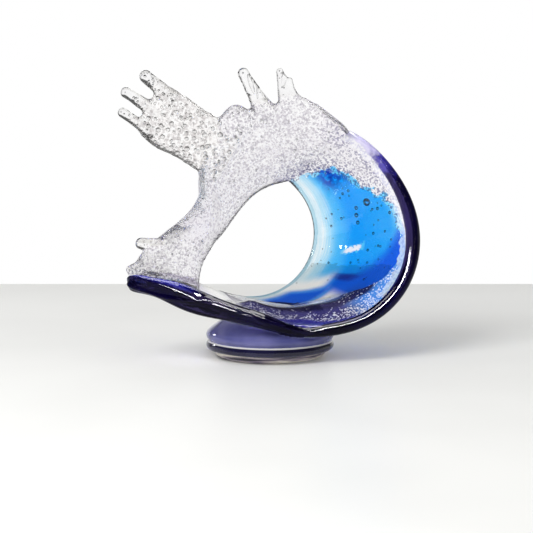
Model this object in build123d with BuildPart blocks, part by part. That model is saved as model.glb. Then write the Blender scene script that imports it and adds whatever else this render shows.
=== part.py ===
"""Glass wave on a turned foot. Millimetres, +Z up, the foot stands on Z = 0 and the wave faces -Y."""

import os
from math import cos, radians, sin

from build123d import *

# Foot
pad_diameter = 97
pad_height = 7.5
bead_diameter = 122
bead_height = 8.5
collar_diameter = 122
collar_neck = 90
collar_height = 30

# Curl: the front rim is the wide end of the tunnel, the eye is its narrow back end
curl_radius = 96
curl_swell = 4.5
curl_x = 38
curl_y = -70.5
curl_z = 123
curl_yaw = 0.26
curl_lean = 0.29
curl_start = -125
curl_end = 68
eye_radius = 61
eye_x = -15
eye_y = 64
eye_z = 108
eye_yaw = 0.47
eye_lean = -0.07
eye_start = -97
eye_end = 58
eye_lift = 6
curl_steps = 9

# Bed: the tail of the ribbon that runs left to a blunt tip
tail_length = 110.5
tail_rise = 29
tail_forward = 25
tip_width = 18
tip_round = 6

# Glass thickness of the ribbon
rim_thickness = 9
eye_thickness = 5
wall_thickness = 13
wall_bow = 9
bed_belly = 14
lining_depth = 2.6
lining_height = 1.6

# Trails along the two edges
lip_thickness = 14.5
lip_width = 13
far_trail = 6

# Crest and column
crest_thickness = 20
column_thickness = 24
crest_steps = 8

# Splash palm and its fingers
palm_length = 67
palm_width = 53
palm_thickness = 20
palm_lift = 31
palm_drop = 2.4
palm_finger_radius = 5.8

# Fingers on the crest, and the smaller pulls and lumps
top_finger_length = 52.5
top_finger_radius = 9.5
spout_length = 32
spout_radius = 8
knuckle_length = 36
knuckle_height = 15
foam_length = 46
foam_height = 21

# Shape rules of the curl
swell_pitch = 2.7
swell_turn = 30
size_ratio = curl_radius / 96


def rim_point(share):
    """Return the front rim's middle at a share of the way round the curl."""
    turn = curl_start + (curl_end - curl_start) * share
    reach = curl_radius + curl_swell * cos(radians(swell_pitch * (turn + swell_turn)))
    across = curl_x + reach * cos(radians(turn))
    height = curl_z + reach * sin(radians(turn))
    return Vector(across, curl_y + curl_yaw * across + curl_lean * height, height)


def eye_point(share):
    """Return the back rim's middle at a share of the way round the curl."""
    turn = eye_start + (eye_end - eye_start) * share
    reach = eye_radius + eye_lift * share**5
    across = eye_x + reach * cos(radians(turn))
    height = eye_z + reach * sin(radians(turn))
    return Vector(across, eye_y + eye_yaw * across + eye_lean * height, height)


# Stations of the ribbon from the tip to the top of the curl: front edge and back edge
bed_front = rim_point(0)
bed_back = eye_point(0)
tip_front = bed_front + Vector(-tail_length, tail_forward, tail_rise)
tip_back = tip_front + Vector(4, tip_width, 1)


def tail_front(share, climb):
    """Return a point of the tail's front edge at a share of its length and rise."""
    return bed_front + Vector(-tail_length * share, tail_forward * share**2, tail_rise * climb)


def tail_back(share, climb):
    """Return a point of the tail's back edge at a share of its length and rise."""
    run = tip_back - bed_back
    return bed_back + Vector(run.X * share, run.Y * share**1.9, run.Z * climb)


tip_nose = Vector(-tip_round, tip_round / 2, 0)
rim_front = [
    tip_front + tip_nose,
    tip_front + tip_nose * 0.55,
    tail_front(0.9, 0.96),
    tail_front(0.66, 0.75),
    tail_front(0.34, 0.34),
]
rim_back = [
    tip_front + tip_nose + Vector(0, tip_width * 0.4, 0),
    tip_back + tip_nose * 0.4,
    tail_back(0.86, 0.96),
    tail_back(0.6, 0.72),
    tail_back(0.31, 0.28),
]
tail_stations = len(rim_front)
for step in range(curl_steps + 1):
    rim_front.append(rim_point(step / curl_steps))
    rim_back.append(eye_point(step / curl_steps))
ribbon_stations = len(rim_front)


def station(fronts, backs, index):
    """Return the section plane at a station, x from front edge to back edge, y to the inside."""
    before = max(index - 1, 0)
    after = min(index + 1, len(fronts) - 1)
    travel = fronts[after] + backs[after] - fronts[before] - backs[before]
    width = (backs[index] - fronts[index]).normalized()
    travel = travel - width * travel.dot(width)
    return Plane(origin=fronts[index], x_dir=width, z_dir=travel)


def strip_section(plane, width, front, back, inner, outer):
    """Draw a strip with round ends: end thicknesses, and the pull of its inner and outer face."""
    with BuildSketch(plane) as strip:
        with BuildLine():
            ThreePointArc((0, -front / 2), (-front / 2, 0), (0, front / 2))
            Bezier((0, front / 2), (width / 2, inner), (width, back / 2))
            ThreePointArc((width, back / 2), (width + back / 2, 0), (width, -back / 2))
            Bezier((width, -back / 2), (width / 2, -outer), (0, -front / 2))
        make_face()
    return strip.sketch


def between(knots, share):
    """Return the value at a share of the way along a few (share, value) knots."""
    for (low, start), (high, end) in zip(knots, knots[1:]):
        if share <= high:
            return start + (end - start) * (share - low) / (high - low)
    return knots[-1][1]


def along(index):
    """Return a ribbon station's share of the way from the tip to the top of the curl."""
    return index / (ribbon_stations - 1)


# How the section changes from the tip, over the bed and foot, up the wall to the top
front_shares = ((0, 0.55), (0.07, 0.95), (0.2, 1.2), (0.32, 1.1), (0.43, 1), (0.81, 1), (1, 0.5))
back_shares = ((0, 0.9), (0.07, 1.8), (0.35, 1.2), (1, 1))
belly_shares = ((0, 0), (0.07, 0.3), (0.21, 0.9), (0.36, 1), (0.67, 0), (1, 0))
bow_shares = ((0, 0), (0.25, 0.3), (0.53, 1), (1, 0.8))
lip_shares = ((0, 0.6), (0.07, 1.08), (0.21, 1.7), (0.29, 1.62), (0.36, 1.2), (0.43, 0.8), (0.5, 0.8))
lip_shares += ((0.67, 1), (0.81, 1), (0.93, 0.7), (1, 0.4))

widths = [(rim_back[i] - rim_front[i]).length for i in range(ribbon_stations)]
planes = [station(rim_front, rim_back, i) for i in range(ribbon_stations)]
fronts = [rim_thickness * between(front_shares, along(i)) for i in range(ribbon_stations)]
backs = [eye_thickness * between(back_shares, along(i)) for i in range(ribbon_stations)]
bows = [wall_bow * between(bow_shares, along(i)) for i in range(ribbon_stations)]
bellies = [bed_belly * between(belly_shares, along(i)) for i in range(ribbon_stations)]
lips = [lip_thickness * between(lip_shares, along(i)) for i in range(ribbon_stations)]
inners = [rim_thickness * 0.45 - bows[i] for i in range(ribbon_stations)]
outers = [wall_thickness / 2 + bows[i] + bellies[i] for i in range(ribbon_stations)]


def main_solid(blank):
    """Return the largest solid of a blank, without the chips that a cut leaves."""
    return blank.part.solids().sort_by(SortBy.VOLUME)[-1]


# Whole ribbon, before its trails and lining are let in
strips = []
for i in range(ribbon_stations):
    strips.append(strip_section(planes[i], widths[i], fronts[i], backs[i], inners[i], outers[i]))
with BuildPart() as ribbon_blank:
    loft(strips)

# Lip along the front edge
with BuildPart() as lip_wrap:
    for i in range(ribbon_stations):
        with BuildSketch(planes[i]):
            Ellipse(min(lip_width, 0.9 * lips[i]) / 2, lips[i] / 2)
    loft()

# Trail along the back edge
with BuildPart() as far_lip:
    for i in range(tail_stations - 1, ribbon_stations):
        with BuildSketch(planes[i]):
            with Locations((widths[i], 0)):
                Circle(far_trail / 2)
    loft()

# Lining on the inner face, let in between the two trails
with BuildPart() as aqua_lining:
    for i in range(tail_stations, ribbon_stations):
        rise = lining_height * min(1, 0.4 + 0.2 * (i - tail_stations))
        near_low = fronts[i] / 2 - lining_depth
        near_high = fronts[i] / 2 + rise
        far_low = backs[i] / 2 - lining_depth * 0.75
        far_high = backs[i] / 2 + rise / 2
        with BuildSketch(planes[i]):
            with BuildLine():
                Line((0, near_low), (0, near_high))
                Bezier((0, near_high), (widths[i] / 2, inners[i] + rise), (widths[i], far_high))
                Line((widths[i], far_high), (widths[i], far_low))
                Bezier((widths[i], far_low), (widths[i] / 2, inners[i] - lining_depth), (0, near_low))
            make_face()
    loft()
    add(lip_wrap.part, mode=Mode.SUBTRACT)
    add(far_lip.part, mode=Mode.SUBTRACT)

with BuildPart() as shell_blank:
    add(ribbon_blank.part)
    add(lip_wrap.part, mode=Mode.SUBTRACT)
    add(far_lip.part, mode=Mode.SUBTRACT)
    add(aqua_lining.part, mode=Mode.SUBTRACT)
with BuildPart() as cobalt_shell:
    add(main_solid(shell_blank))

# Edges of the crest, from the top of the curl over to the left and down to the bed
crest_hub = Vector(curl_x, rim_front[-1].Y, curl_z)
eye_hub = Vector(eye_x, rim_back[-1].Y, eye_z)
column_toe = tail_front(0.98, 1) + Vector(0, 16, 1)
column_heel = tail_front(0.5, 0.55) + Vector(0, 40, 0)
with BuildLine() as crest_outer:
    Spline(
        rim_front[-1],
        crest_hub + Vector(-26, -2, 110) * size_ratio,
        crest_hub + Vector(-79, -7, 92) * size_ratio,
        crest_hub + Vector(-99, -11, 60) * size_ratio,
        crest_hub + Vector(-99, -15, 33) * size_ratio,
        crest_hub + Vector(-113, -20, 8) * size_ratio,
        crest_hub + Vector(-141, -27, -14) * size_ratio,
        column_toe,
    )
with BuildLine() as crest_inner:
    Spline(
        rim_back[-1],
        eye_hub + Vector(-8, -20, 41) * size_ratio,
        eye_hub + Vector(-31, -32, 14) * size_ratio,
        eye_hub + Vector(-47, -48, -6) * size_ratio,
        column_heel,
    )

crest_front = [crest_outer.line @ (step / crest_steps) for step in range(crest_steps + 1)]
crest_back = [crest_inner.line @ (step / crest_steps) for step in range(crest_steps + 1)]
crest_sections = [strips[-1]]
for i in range(1, crest_steps + 1):
    bulk = crest_thickness + (column_thickness - crest_thickness) * i / crest_steps
    reach = (crest_back[i] - crest_front[i]).length
    plane = station(crest_front, crest_back, i)
    crest_sections.append(strip_section(plane, reach, 0.55 * bulk, 0.5 * bulk, 0.5 * bulk, 0.7 * bulk))
column_step = crest_steps // 2 + 1

with BuildPart() as crest_arch:
    loft(crest_sections[: column_step + 1])
    add(lip_wrap.part, mode=Mode.SUBTRACT)

with BuildPart() as column_blank:
    loft(crest_sections[column_step:])
    add(ribbon_blank.part, mode=Mode.SUBTRACT)
    add(lip_wrap.part, mode=Mode.SUBTRACT)
with BuildPart() as spray_column:
    add(main_solid(column_blank))

# Splash palm, out of the crest's shoulder to the upper left
palm_along = Vector(-cos(radians(palm_lift)), -0.06, sin(radians(palm_lift)))
palm_across = Vector(sin(radians(palm_lift)), 0, cos(radians(palm_lift)))
palm_root = (crest_outer.line @ 0.48) - palm_across * palm_drop
palm_stops = ((-0.3, 0.96, 1), (0.2, 1, 1), (0.6, 1.05, 0.95))
palm_stops += ((0.88, 1.02, 0.84), (1.02, 0.84, 0.6), (1.07, 0.66, 0.34))
palm_rings = []
for run, broad, deep in palm_stops:
    centre = palm_root + palm_along * (palm_length * run)
    with BuildSketch(Plane(origin=centre, x_dir=palm_across, z_dir=palm_along)) as ring:
        Ellipse(palm_width / 2 * broad, palm_thickness / 2 * deep)
    palm_rings.append(ring.sketch)

with BuildPart() as spray_palm_blank:
    loft(palm_rings)
    add(crest_arch.part, mode=Mode.SUBTRACT)
    add(spray_column.part, mode=Mode.SUBTRACT)
with BuildPart() as spray_palm:
    add(main_solid(spray_palm_blank))


def finger_plane(root, tip):
    """Return the plane of a finger's half outline, x away from its axis and y towards the tip."""
    away = (tip - root).normalized()
    side = Vector(0, 1, 0) - away * away.Y
    return Plane(origin=root, x_dir=side, z_dir=side.cross(away))


def finger_outline(plane, reach, root_radius, tip_radius):
    """Draw half a pulled finger: flared root, slim middle, round tip."""
    shoulder = reach - tip_radius
    with BuildSketch(plane) as half:
        with BuildLine():
            Line((0, 0), (root_radius, 0))
            Bezier((root_radius, 0), (tip_radius * 1.05, reach * 0.4), (tip_radius, shoulder))
            RadiusArc((tip_radius, shoulder), (0, reach), -tip_radius)
            Line((0, reach), (0, 0))
        make_face()
    return half.sketch


def palm_point(run, across, depth):
    """Return a point of the palm: share of its length, share of its width, and depth."""
    middle = palm_root + palm_along * (palm_length * run)
    return middle + palm_across * (palm_width * across) + Vector(0, depth, 0)


# Palm fingers: root, tip and radius
upper_root = palm_point(0.8, 0.35, -1)
upper_tip = palm_point(1.38, 0.49, -4)
with BuildPart() as palm_finger_upper_blank:
    half = finger_outline(
        finger_plane(upper_root, upper_tip),
        (upper_tip - upper_root).length,
        palm_finger_radius * 1.95,
        palm_finger_radius * 1.12,
    )
    revolve(half, axis=Axis(upper_root, upper_tip - upper_root))
    add(spray_palm.part, mode=Mode.SUBTRACT)
with BuildPart() as palm_finger_upper:
    add(main_solid(palm_finger_upper_blank))

middle_root = palm_point(0.86, 0.015, 1)
middle_tip = palm_point(1.505, 0.04, 3)
with BuildPart() as palm_finger_middle_blank:
    half = finger_outline(
        finger_plane(middle_root, middle_tip),
        (middle_tip - middle_root).length,
        palm_finger_radius * 1.9,
        palm_finger_radius,
    )
    revolve(half, axis=Axis(middle_root, middle_tip - middle_root))
    add(spray_palm.part, mode=Mode.SUBTRACT)
with BuildPart() as palm_finger_middle:
    add(main_solid(palm_finger_middle_blank))

lower_root = palm_point(0.8, -0.34, -1)
lower_tip = palm_point(1.375, -0.28, -5)
with BuildPart() as palm_finger_lower_blank:
    half = finger_outline(
        finger_plane(lower_root, lower_tip),
        (lower_tip - lower_root).length,
        palm_finger_radius * 1.65,
        palm_finger_radius * 0.85,
    )
    revolve(half, axis=Axis(lower_root, lower_tip - lower_root))
    add(spray_palm.part, mode=Mode.SUBTRACT)
with BuildPart() as palm_finger_lower:
    add(main_solid(palm_finger_lower_blank))


def crest_point(share, sink):
    """Return a point of the crest's outer edge, sunk towards its inner edge."""
    outer = crest_outer.line @ share
    inner = crest_inner.line @ share
    return outer + (inner - outer).normalized() * sink


def leaning(lean, reach, depth):
    """Return the run of a crest finger that leans left by an angle."""
    return Vector(-reach * sin(radians(lean)), depth, reach * cos(radians(lean)))


# Fingers on top of the crest
left_root = crest_point(0.27, top_finger_radius * 0.6)
left_run = leaning(29, top_finger_length, -5)
with BuildPart() as top_finger_left_blank:
    half = finger_outline(
        finger_plane(left_root, left_root + left_run),
        left_run.length,
        top_finger_radius * 1.6,
        top_finger_radius * 0.64,
    )
    revolve(half, axis=Axis(left_root, left_run))
    add(crest_arch.part, mode=Mode.SUBTRACT)
with BuildPart() as top_finger_left:
    add(main_solid(top_finger_left_blank))

right_root = crest_point(0.21, top_finger_radius * 0.6)
right_run = leaning(7, top_finger_length * 0.87, 4)
with BuildPart() as top_finger_right_blank:
    half = finger_outline(
        finger_plane(right_root, right_root + right_run),
        right_run.length,
        top_finger_radius * 1.0,
        top_finger_radius * 0.5,
    )
    revolve(half, axis=Axis(right_root, right_run))
    add(crest_arch.part, mode=Mode.SUBTRACT)
    add(top_finger_left.part, mode=Mode.SUBTRACT)
with BuildPart() as top_finger_right:
    add(main_solid(top_finger_right_blank))

stub_root = crest_point(0.18, top_finger_radius * 0.5)
stub_run = leaning(9, top_finger_length * 0.72, 5)
with BuildPart() as top_finger_stub_blank:
    half = finger_outline(
        finger_plane(stub_root, stub_root + stub_run),
        stub_run.length,
        top_finger_radius * 1.1,
        top_finger_radius * 0.44,
    )
    revolve(half, axis=Axis(stub_root, stub_run))
    add(crest_arch.part, mode=Mode.SUBTRACT)
    add(top_finger_right.part, mode=Mode.SUBTRACT)
with BuildPart() as top_finger_stub:
    add(main_solid(top_finger_stub_blank))

# Knuckle on the crest between palm and fingers
knuckle_centre = crest_point(0.385, knuckle_height * 0.04)
knuckle_plane = Plane(origin=knuckle_centre, x_dir=crest_outer.line % 0.385, z_dir=(0, -1, 0))
with BuildPart() as crest_knuckle_blank:
    with BuildSketch(knuckle_plane):
        Ellipse(knuckle_length / 2, knuckle_height)
        with Locations((0, -knuckle_length)):
            Rectangle(knuckle_length * 2, knuckle_length * 2, mode=Mode.SUBTRACT)
    revolve(axis=Axis(knuckle_centre, knuckle_plane.x_dir))
    add(crest_arch.part, mode=Mode.SUBTRACT)
    add(spray_palm.part, mode=Mode.SUBTRACT)
with BuildPart() as crest_knuckle:
    add(main_solid(crest_knuckle_blank))

# Spout on the left of the column
spout_root = crest_point(0.845, spout_radius * 1.1)
spout_run = Vector(-spout_length, -3, spout_length * 0.1)
with BuildPart() as side_spout_blank:
    half = finger_outline(
        finger_plane(spout_root, spout_root + spout_run),
        spout_run.length,
        spout_radius * 1.1,
        spout_radius * 0.62,
    )
    revolve(half, axis=Axis(spout_root, spout_run))
    add(spray_column.part, mode=Mode.SUBTRACT)
with BuildPart() as side_spout:
    add(main_solid(side_spout_blank))

# Foam lump behind the tip
foam_centre = column_toe + Vector(foam_length * 0.26, 2, foam_height * 0.32)
foam_plane = Plane(origin=foam_centre, x_dir=(1, 0, -0.15), z_dir=(0, -1, 0))
with BuildPart() as foam_blank:
    with BuildSketch(foam_plane):
        Ellipse(foam_length / 2, foam_height / 2)
        with Locations((0, -foam_height)):
            Rectangle(foam_length * 2, foam_height * 2, mode=Mode.SUBTRACT)
    revolve(axis=Axis(foam_centre, foam_plane.x_dir))
    for piece in (ribbon_blank, lip_wrap, spray_column):
        add(piece.part, mode=Mode.SUBTRACT)
with BuildPart() as shore_foam:
    add(main_solid(foam_blank))

# Turned foot: pad, bead and collar
bead_seat = pad_height
collar_seat = pad_height + bead_height
pad_edge = pad_diameter / 2 - 1
pad_swell = pad_diameter / 2 + 4
pad_shoulder = bead_diameter / 2 - 6
bead_shoulder = bead_diameter / 2 - 3
with BuildPart() as foot_pad:
    with BuildSketch(Plane.XZ):
        with BuildLine():
            Line((0, 0), (pad_edge, 0))
            Bezier((pad_edge, 0), (pad_swell, pad_height * 0.2), (pad_shoulder, bead_seat))
            Line((pad_shoulder, bead_seat), (0, bead_seat))
            Line((0, bead_seat), (0, 0))
        make_face()
    revolve(axis=Axis.Z)

with BuildPart() as foot_bead:
    with BuildSketch(Plane.XZ):
        with BuildLine():
            Line((0, bead_seat), (pad_shoulder, bead_seat))
            ThreePointArc(
                (pad_shoulder, bead_seat),
                (bead_diameter / 2, bead_seat + bead_height * 0.55),
                (bead_shoulder, collar_seat),
            )
            Line((bead_shoulder, collar_seat), (0, collar_seat))
            Line((0, collar_seat), (0, bead_seat))
        make_face()
    revolve(axis=Axis.Z)

with BuildPart() as collar_blank:
    with BuildSketch(Plane.XZ):
        with BuildLine():
            Line((0, collar_seat), (bead_shoulder, collar_seat))
            Spline(
                (bead_shoulder, collar_seat),
                (collar_diameter / 2, collar_seat + collar_height * 0.17),
                (collar_neck / 2 + 5, collar_seat + collar_height * 0.55),
                (collar_neck / 2, collar_seat + collar_height),
            )
            Line((collar_neck / 2, collar_seat + collar_height), (0, collar_seat + collar_height))
            Line((0, collar_seat + collar_height), (0, collar_seat))
        make_face()
    revolve(axis=Axis.Z)
    for piece in (ribbon_blank, lip_wrap):
        add(piece.part, mode=Mode.SUBTRACT)
with BuildPart() as merese_collar:
    add(collar_blank.part.solids().sort_by(Axis.Z)[0])

pieces = {
    "foot_pad": foot_pad,
    "foot_bead": foot_bead,
    "merese_collar": merese_collar,
    "cobalt_shell": cobalt_shell,
    "aqua_lining": aqua_lining,
    "lip_wrap": lip_wrap,
    "far_lip": far_lip,
    "crest_arch": crest_arch,
    "spray_column": spray_column,
    "spray_palm": spray_palm,
    "palm_finger_upper": palm_finger_upper,
    "palm_finger_middle": palm_finger_middle,
    "palm_finger_lower": palm_finger_lower,
    "crest_knuckle": crest_knuckle,
    "top_finger_left": top_finger_left,
    "top_finger_right": top_finger_right,
    "top_finger_stub": top_finger_stub,
    "side_spout": side_spout,
    "shore_foam": shore_foam,
}
os.makedirs("parts", exist_ok=True)
for name, piece in pieces.items():
    piece.part.label = name
    export_step(piece.part, f"parts/{name}.step")
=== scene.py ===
"""Looks of the glass wave: one fused body of hot glass, cut into its named gathers and dressed."""

import functools
import itertools
import logging
import math
from dataclasses import dataclass, field
from enum import Enum
from typing import Iterable, Optional, Sequence, Union

import bmesh
import bpy
import numpy as np
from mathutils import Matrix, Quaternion, Vector
from mathutils.bvhtree import BVHTree


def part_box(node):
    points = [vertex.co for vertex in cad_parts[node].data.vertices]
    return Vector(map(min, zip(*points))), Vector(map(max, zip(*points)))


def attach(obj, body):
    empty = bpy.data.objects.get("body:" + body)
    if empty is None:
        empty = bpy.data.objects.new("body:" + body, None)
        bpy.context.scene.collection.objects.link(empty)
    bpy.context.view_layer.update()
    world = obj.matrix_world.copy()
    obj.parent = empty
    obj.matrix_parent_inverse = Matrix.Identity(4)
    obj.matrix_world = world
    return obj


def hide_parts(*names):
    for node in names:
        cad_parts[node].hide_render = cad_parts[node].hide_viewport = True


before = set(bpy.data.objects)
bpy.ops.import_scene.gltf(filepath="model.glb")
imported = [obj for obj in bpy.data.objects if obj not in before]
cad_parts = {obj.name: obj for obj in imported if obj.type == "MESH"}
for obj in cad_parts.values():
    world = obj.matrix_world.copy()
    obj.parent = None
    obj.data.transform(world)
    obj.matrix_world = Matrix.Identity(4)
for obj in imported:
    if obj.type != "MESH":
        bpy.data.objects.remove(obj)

LOG = logging.getLogger("glass_wave")
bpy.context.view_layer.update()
MM = 0.001
BODY = "root"

Socket = bpy.types.NodeSocket
Feed = Union[Socket, float, int, Sequence[float]]
Key = Union[int, str]
Colour = tuple[float, float, float]
Spot = tuple[float, float, float]
Span = tuple[float, float]
Line = tuple[Span, ...]

WHITE: Colour = (1.0, 1.0, 1.0)
MIX_SHARE, MIX_FIRST, MIX_SECOND, MIX_RESULT = 0, 6, 7, 2
CHUNK = 4000
LOW_BITS = 0xFFFFFFFF
CELL_PRIMES = (73856093, 19349663, 83492791)
SEED_PRIME = 40503
MIXERS = ((15, 2246822519), (13, 3266489917))
LAST_SHIFT = 16


def linear(red: float, green: float, blue: float) -> Colour:
    """Turn a colour as the eye sees it, in shares from 0 to 1, into light values."""
    return tuple(c / 12.92 if c <= 0.04045 else ((c + 0.055) / 1.055) ** 2.4 for c in (red, green, blue))


def smooth_step(span: Span, values: np.ndarray) -> np.ndarray:
    """Ease values from 0 to 1.

    Args:
        span: Values that give 0 and 1.
        values: Values to ease.

    Returns:
        The eased shares.
    """
    low, high = span
    share = np.clip((values - low) / (high - low), 0.0, 1.0)
    return share * share * (3.0 - 2.0 * share)


def read_line(line: Line, places: np.ndarray) -> np.ndarray:
    """Read the heights of a line of points at some places."""
    return np.interp(places, *zip(*line))


def unit(rows: np.ndarray) -> np.ndarray:
    """Scale rows to length 1."""
    return rows / np.linalg.norm(rows, axis=1, keepdims=True)


def read_rows(items: Sequence[bpy.types.bpy_struct], key: str, width: int, kind: type) -> np.ndarray:
    """Read one property of all parts of a mesh.

    Args:
        items: Points, edges or faces of the mesh.
        key: Name of the property.
        width: Numbers to a part.
        kind: Kind of number.

    Returns:
        One row for each part.
    """
    rows = np.empty(len(items) * width, dtype=kind)
    items.foreach_get(key, rows)
    return rows.reshape(-1, width)


def add_object(name: str, data: bpy.types.ID) -> bpy.types.Object:
    """Put a mesh, light or camera into the scene.

    Args:
        name: Name of the object.
        data: What it shows.

    Returns:
        The object.
    """
    made = bpy.data.objects.new(name, data)
    bpy.context.scene.collection.objects.link(made)
    return made


class Gather(Enum):
    """The gathers of glass, by the name of their solid."""

    PAD = "foot_pad"
    BEAD = "foot_bead"
    COLLAR = "merese_collar"
    SHELL = "cobalt_shell"
    LINING = "aqua_lining"
    LIP = "lip_wrap"
    FAR_LIP = "far_lip"
    CREST = "crest_arch"
    COLUMN = "spray_column"
    PALM = "spray_palm"
    PALM_UPPER = "palm_finger_upper"
    PALM_MIDDLE = "palm_finger_middle"
    PALM_LOWER = "palm_finger_lower"
    KNUCKLE = "crest_knuckle"
    TOP_LEFT = "top_finger_left"
    TOP_RIGHT = "top_finger_right"
    TOP_STUB = "top_finger_stub"
    SPOUT = "side_spout"
    FOAM = "shore_foam"


SPRAY = (Gather.CREST, Gather.COLUMN, Gather.PALM, Gather.KNUCKLE, Gather.FOAM)
PULLS = (
    Gather.PALM_UPPER, Gather.PALM_MIDDLE, Gather.PALM_LOWER,
    Gather.TOP_LEFT, Gather.TOP_RIGHT, Gather.TOP_STUB, Gather.SPOUT,
)
FOOT = (Gather.PAD, Gather.BEAD, Gather.COLLAR)
BLUE = (Gather.LIP, Gather.LINING, Gather.SHELL)


class Mark(Enum):
    """Measures kept on every point of the glass for the finishes to read."""

    ACROSS = "across"
    ALONG = "along"
    RIM = "rim"
    TURN = "turn"
    LIP_GAP = "lip_gap"
    SPRAY_GAP = "spray_gap"
    EDGE = "edge"
    FROTH = "froth"
    BED = "bed"
    CLEAR = "clear"
    NAVY = "navy"
    SIDE = "side"
    ROOT = "root_froth"
    CREASE = "crease"
    # Marks the seam foam and the painted highlight line behind the bed's crown.
    SEAM = "seam"
    AIR = "air"


@dataclass
class NodeBench:
    """Lays out and wires the nodes of one material or of the surround."""

    tree: bpy.types.NodeTree

    @classmethod
    def fresh(cls, owner: Union[bpy.types.Material, bpy.types.World]) -> "NodeBench":
        """Start on an empty tree.

        Args:
            owner: Material or surround to dress.

        Returns:
            The bench for it.
        """
        owner.use_nodes = True
        bench = cls(owner.node_tree)
        bench.tree.nodes.clear()
        return bench

    def feed(self, target: Socket, source: Feed) -> None:
        """Wire a socket, or set its plain value.

        Args:
            target: Input to fill.
            source: Output to wire in, or a number or colour.
        """
        if isinstance(source, bpy.types.NodeSocket):
            self.tree.links.new(source, target)
        elif isinstance(source, (int, float)):
            target.default_value = source
        else:
            values = tuple(source)
            target.default_value = values + (1.0,) if len(values) == 3 and target.type == "RGBA" else values

    def wire(self, kind: str, feeds: dict[Key, Feed], output: Key = 0, **settings: object) -> Socket:
        """Add a node and fill its inputs.

        Args:
            kind: Node type.
            feeds: What goes into each input.
            output: Which output to give.
            **settings: Properties to set on the node.

        Returns:
            The output.
        """
        node = self.tree.nodes.new(kind)
        for name, value in settings.items():
            setattr(node, name, value)
        for key, source in feeds.items():
            self.feed(node.inputs[key], source)
        return node.outputs[output]

    def end(self, kind: str, shader: Socket) -> None:
        """End the tree in an output node that shows a shader."""
        self.feed(self.tree.nodes.new(kind).inputs["Surface"], shader)

    def value(self, operation: str, first: Feed, second: Feed = 0.0) -> Socket:
        """Work out a number from two."""
        return self.wire("ShaderNodeMath", {0: first, 1: second}, operation=operation)

    def times(self, *feeds: Feed) -> Socket:
        """Multiply numbers."""
        return functools.reduce(functools.partial(self.value, "MULTIPLY"), feeds)

    def plus(self, *feeds: Feed) -> Socket:
        """Add numbers."""
        return functools.reduce(functools.partial(self.value, "ADD"), feeds)

    def rest(self, share: Feed) -> Socket:
        """Return what a share leaves of 1."""
        return self.value("SUBTRACT", 1.0, share)

    def eased(self, source: Feed, span: Span, start: float = 0.0, end: float = 1.0) -> Socket:
        """Ease a number from start, at the span's first value, to end, at its second."""
        feeds = dict(enumerate((source, *span, start, end)))
        return self.wire("ShaderNodeMapRange", feeds, interpolation_type="SMOOTHSTEP")

    def window(self, source: Feed, rise: Span, fall: Span) -> Socket:
        """Ease a number up from 0 over one span, and back to 0 over another, both given from 0 to 1."""
        return self.times(self.eased(source, rise), self.eased(source, fall))

    def mark(self, which: Mark) -> Socket:
        """Read one of the measures kept on the glass."""
        return self.wire("ShaderNodeAttribute", {}, "Fac", attribute_name=which.value)

    def place(self, spread: Optional[Spot] = None) -> Socket:
        """Read the place on the piece, in metres.

        Args:
            spread: Stretch along X, Y and Z, or None for none.

        Returns:
            The place.
        """
        spot = self.wire("ShaderNodeTexCoord", {}, "Object")
        if spread is None:
            return spot
        return self.wire("ShaderNodeMapping", {"Vector": spot, "Scale": spread})

    def grain(self, scale: float, detail: float = 2.0, spread: Optional[Spot] = None) -> Socket:
        """Draw soft cloudy noise, by its clouds per metre, its finer layers and its stretch."""
        feeds = {"Vector": self.place(spread), "Scale": scale, "Detail": detail}
        return self.wire("ShaderNodeTexNoise", feeds)

    def sway(self, scale: float, swing: float) -> Socket:
        """Draw cloudy noise that swings about 0."""
        return self.times(self.value("SUBTRACT", self.grain(scale, 3.0), 0.5), swing)

    def cells(self, size: float, output: str = "Distance") -> Socket:
        """Draw scattered cells of a size, as the distance from their middles or as their colours."""
        return self.wire("ShaderNodeTexVoronoi", {"Vector": self.place(), "Scale": 1.0 / size}, output)

    def ramp(self, share: Feed, stops: Sequence[tuple[float, Colour]]) -> Socket:
        """Run a share through colour stops.

        Args:
            share: Place on the ramp, 0 to 1.
            stops: Places and their colours, as seen.

        Returns:
            The colour.
        """
        shown = self.wire("ShaderNodeValToRGB", {0: share})
        bar = shown.node.color_ramp
        bar.interpolation = "EASE"
        while len(bar.elements) < len(stops):
            bar.elements.new(1.0)
        for element, (position, colour) in zip(bar.elements, stops):
            element.position = position
            element.color = linear(*colour) + (1.0,)
        return shown

    def blend(self, share: Feed, first: Feed, second: Feed) -> Socket:
        """Mix two colours, given as light, by the share of the second."""
        feeds = {MIX_SHARE: share, MIX_FIRST: first, MIX_SECOND: second}
        return self.wire("ShaderNodeMix", feeds, MIX_RESULT, data_type="RGBA")

    def tinted(self, share: Feed, tint: Feed, seen: Colour) -> Socket:
        """Mix a share of a colour, given as seen, into a tint."""
        return self.blend(share, tint, linear(*seen))

    def bump(self, height: Feed, depth: float = 1.0) -> Socket:
        """Turn a height into a bumped normal, with so many metres to a unit of height."""
        return self.wire("ShaderNodeBump", {"Height": height, "Distance": depth, "Strength": 1.0})

    def glass(self, colour: Feed, finish: "Finish", normal: Optional[Socket]) -> None:
        """End a material in a glass shader.

        Args:
            colour: Tint that light takes on its way through.
            finish: Haze, bending power, clearness and shine of the glass.
            normal: Bumped normal, or None.
        """
        feeds = {
            "Base Color": colour,
            "Roughness": finish.roughness,
            "IOR": finish.ior,
            "Transmission Weight": finish.clear,
            "Specular IOR Level": finish.shine,
        }
        if normal is not None:
            feeds["Normal"] = normal
        self.end("ShaderNodeOutputMaterial", self.wire("ShaderNodeBsdfPrincipled", feeds))


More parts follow.
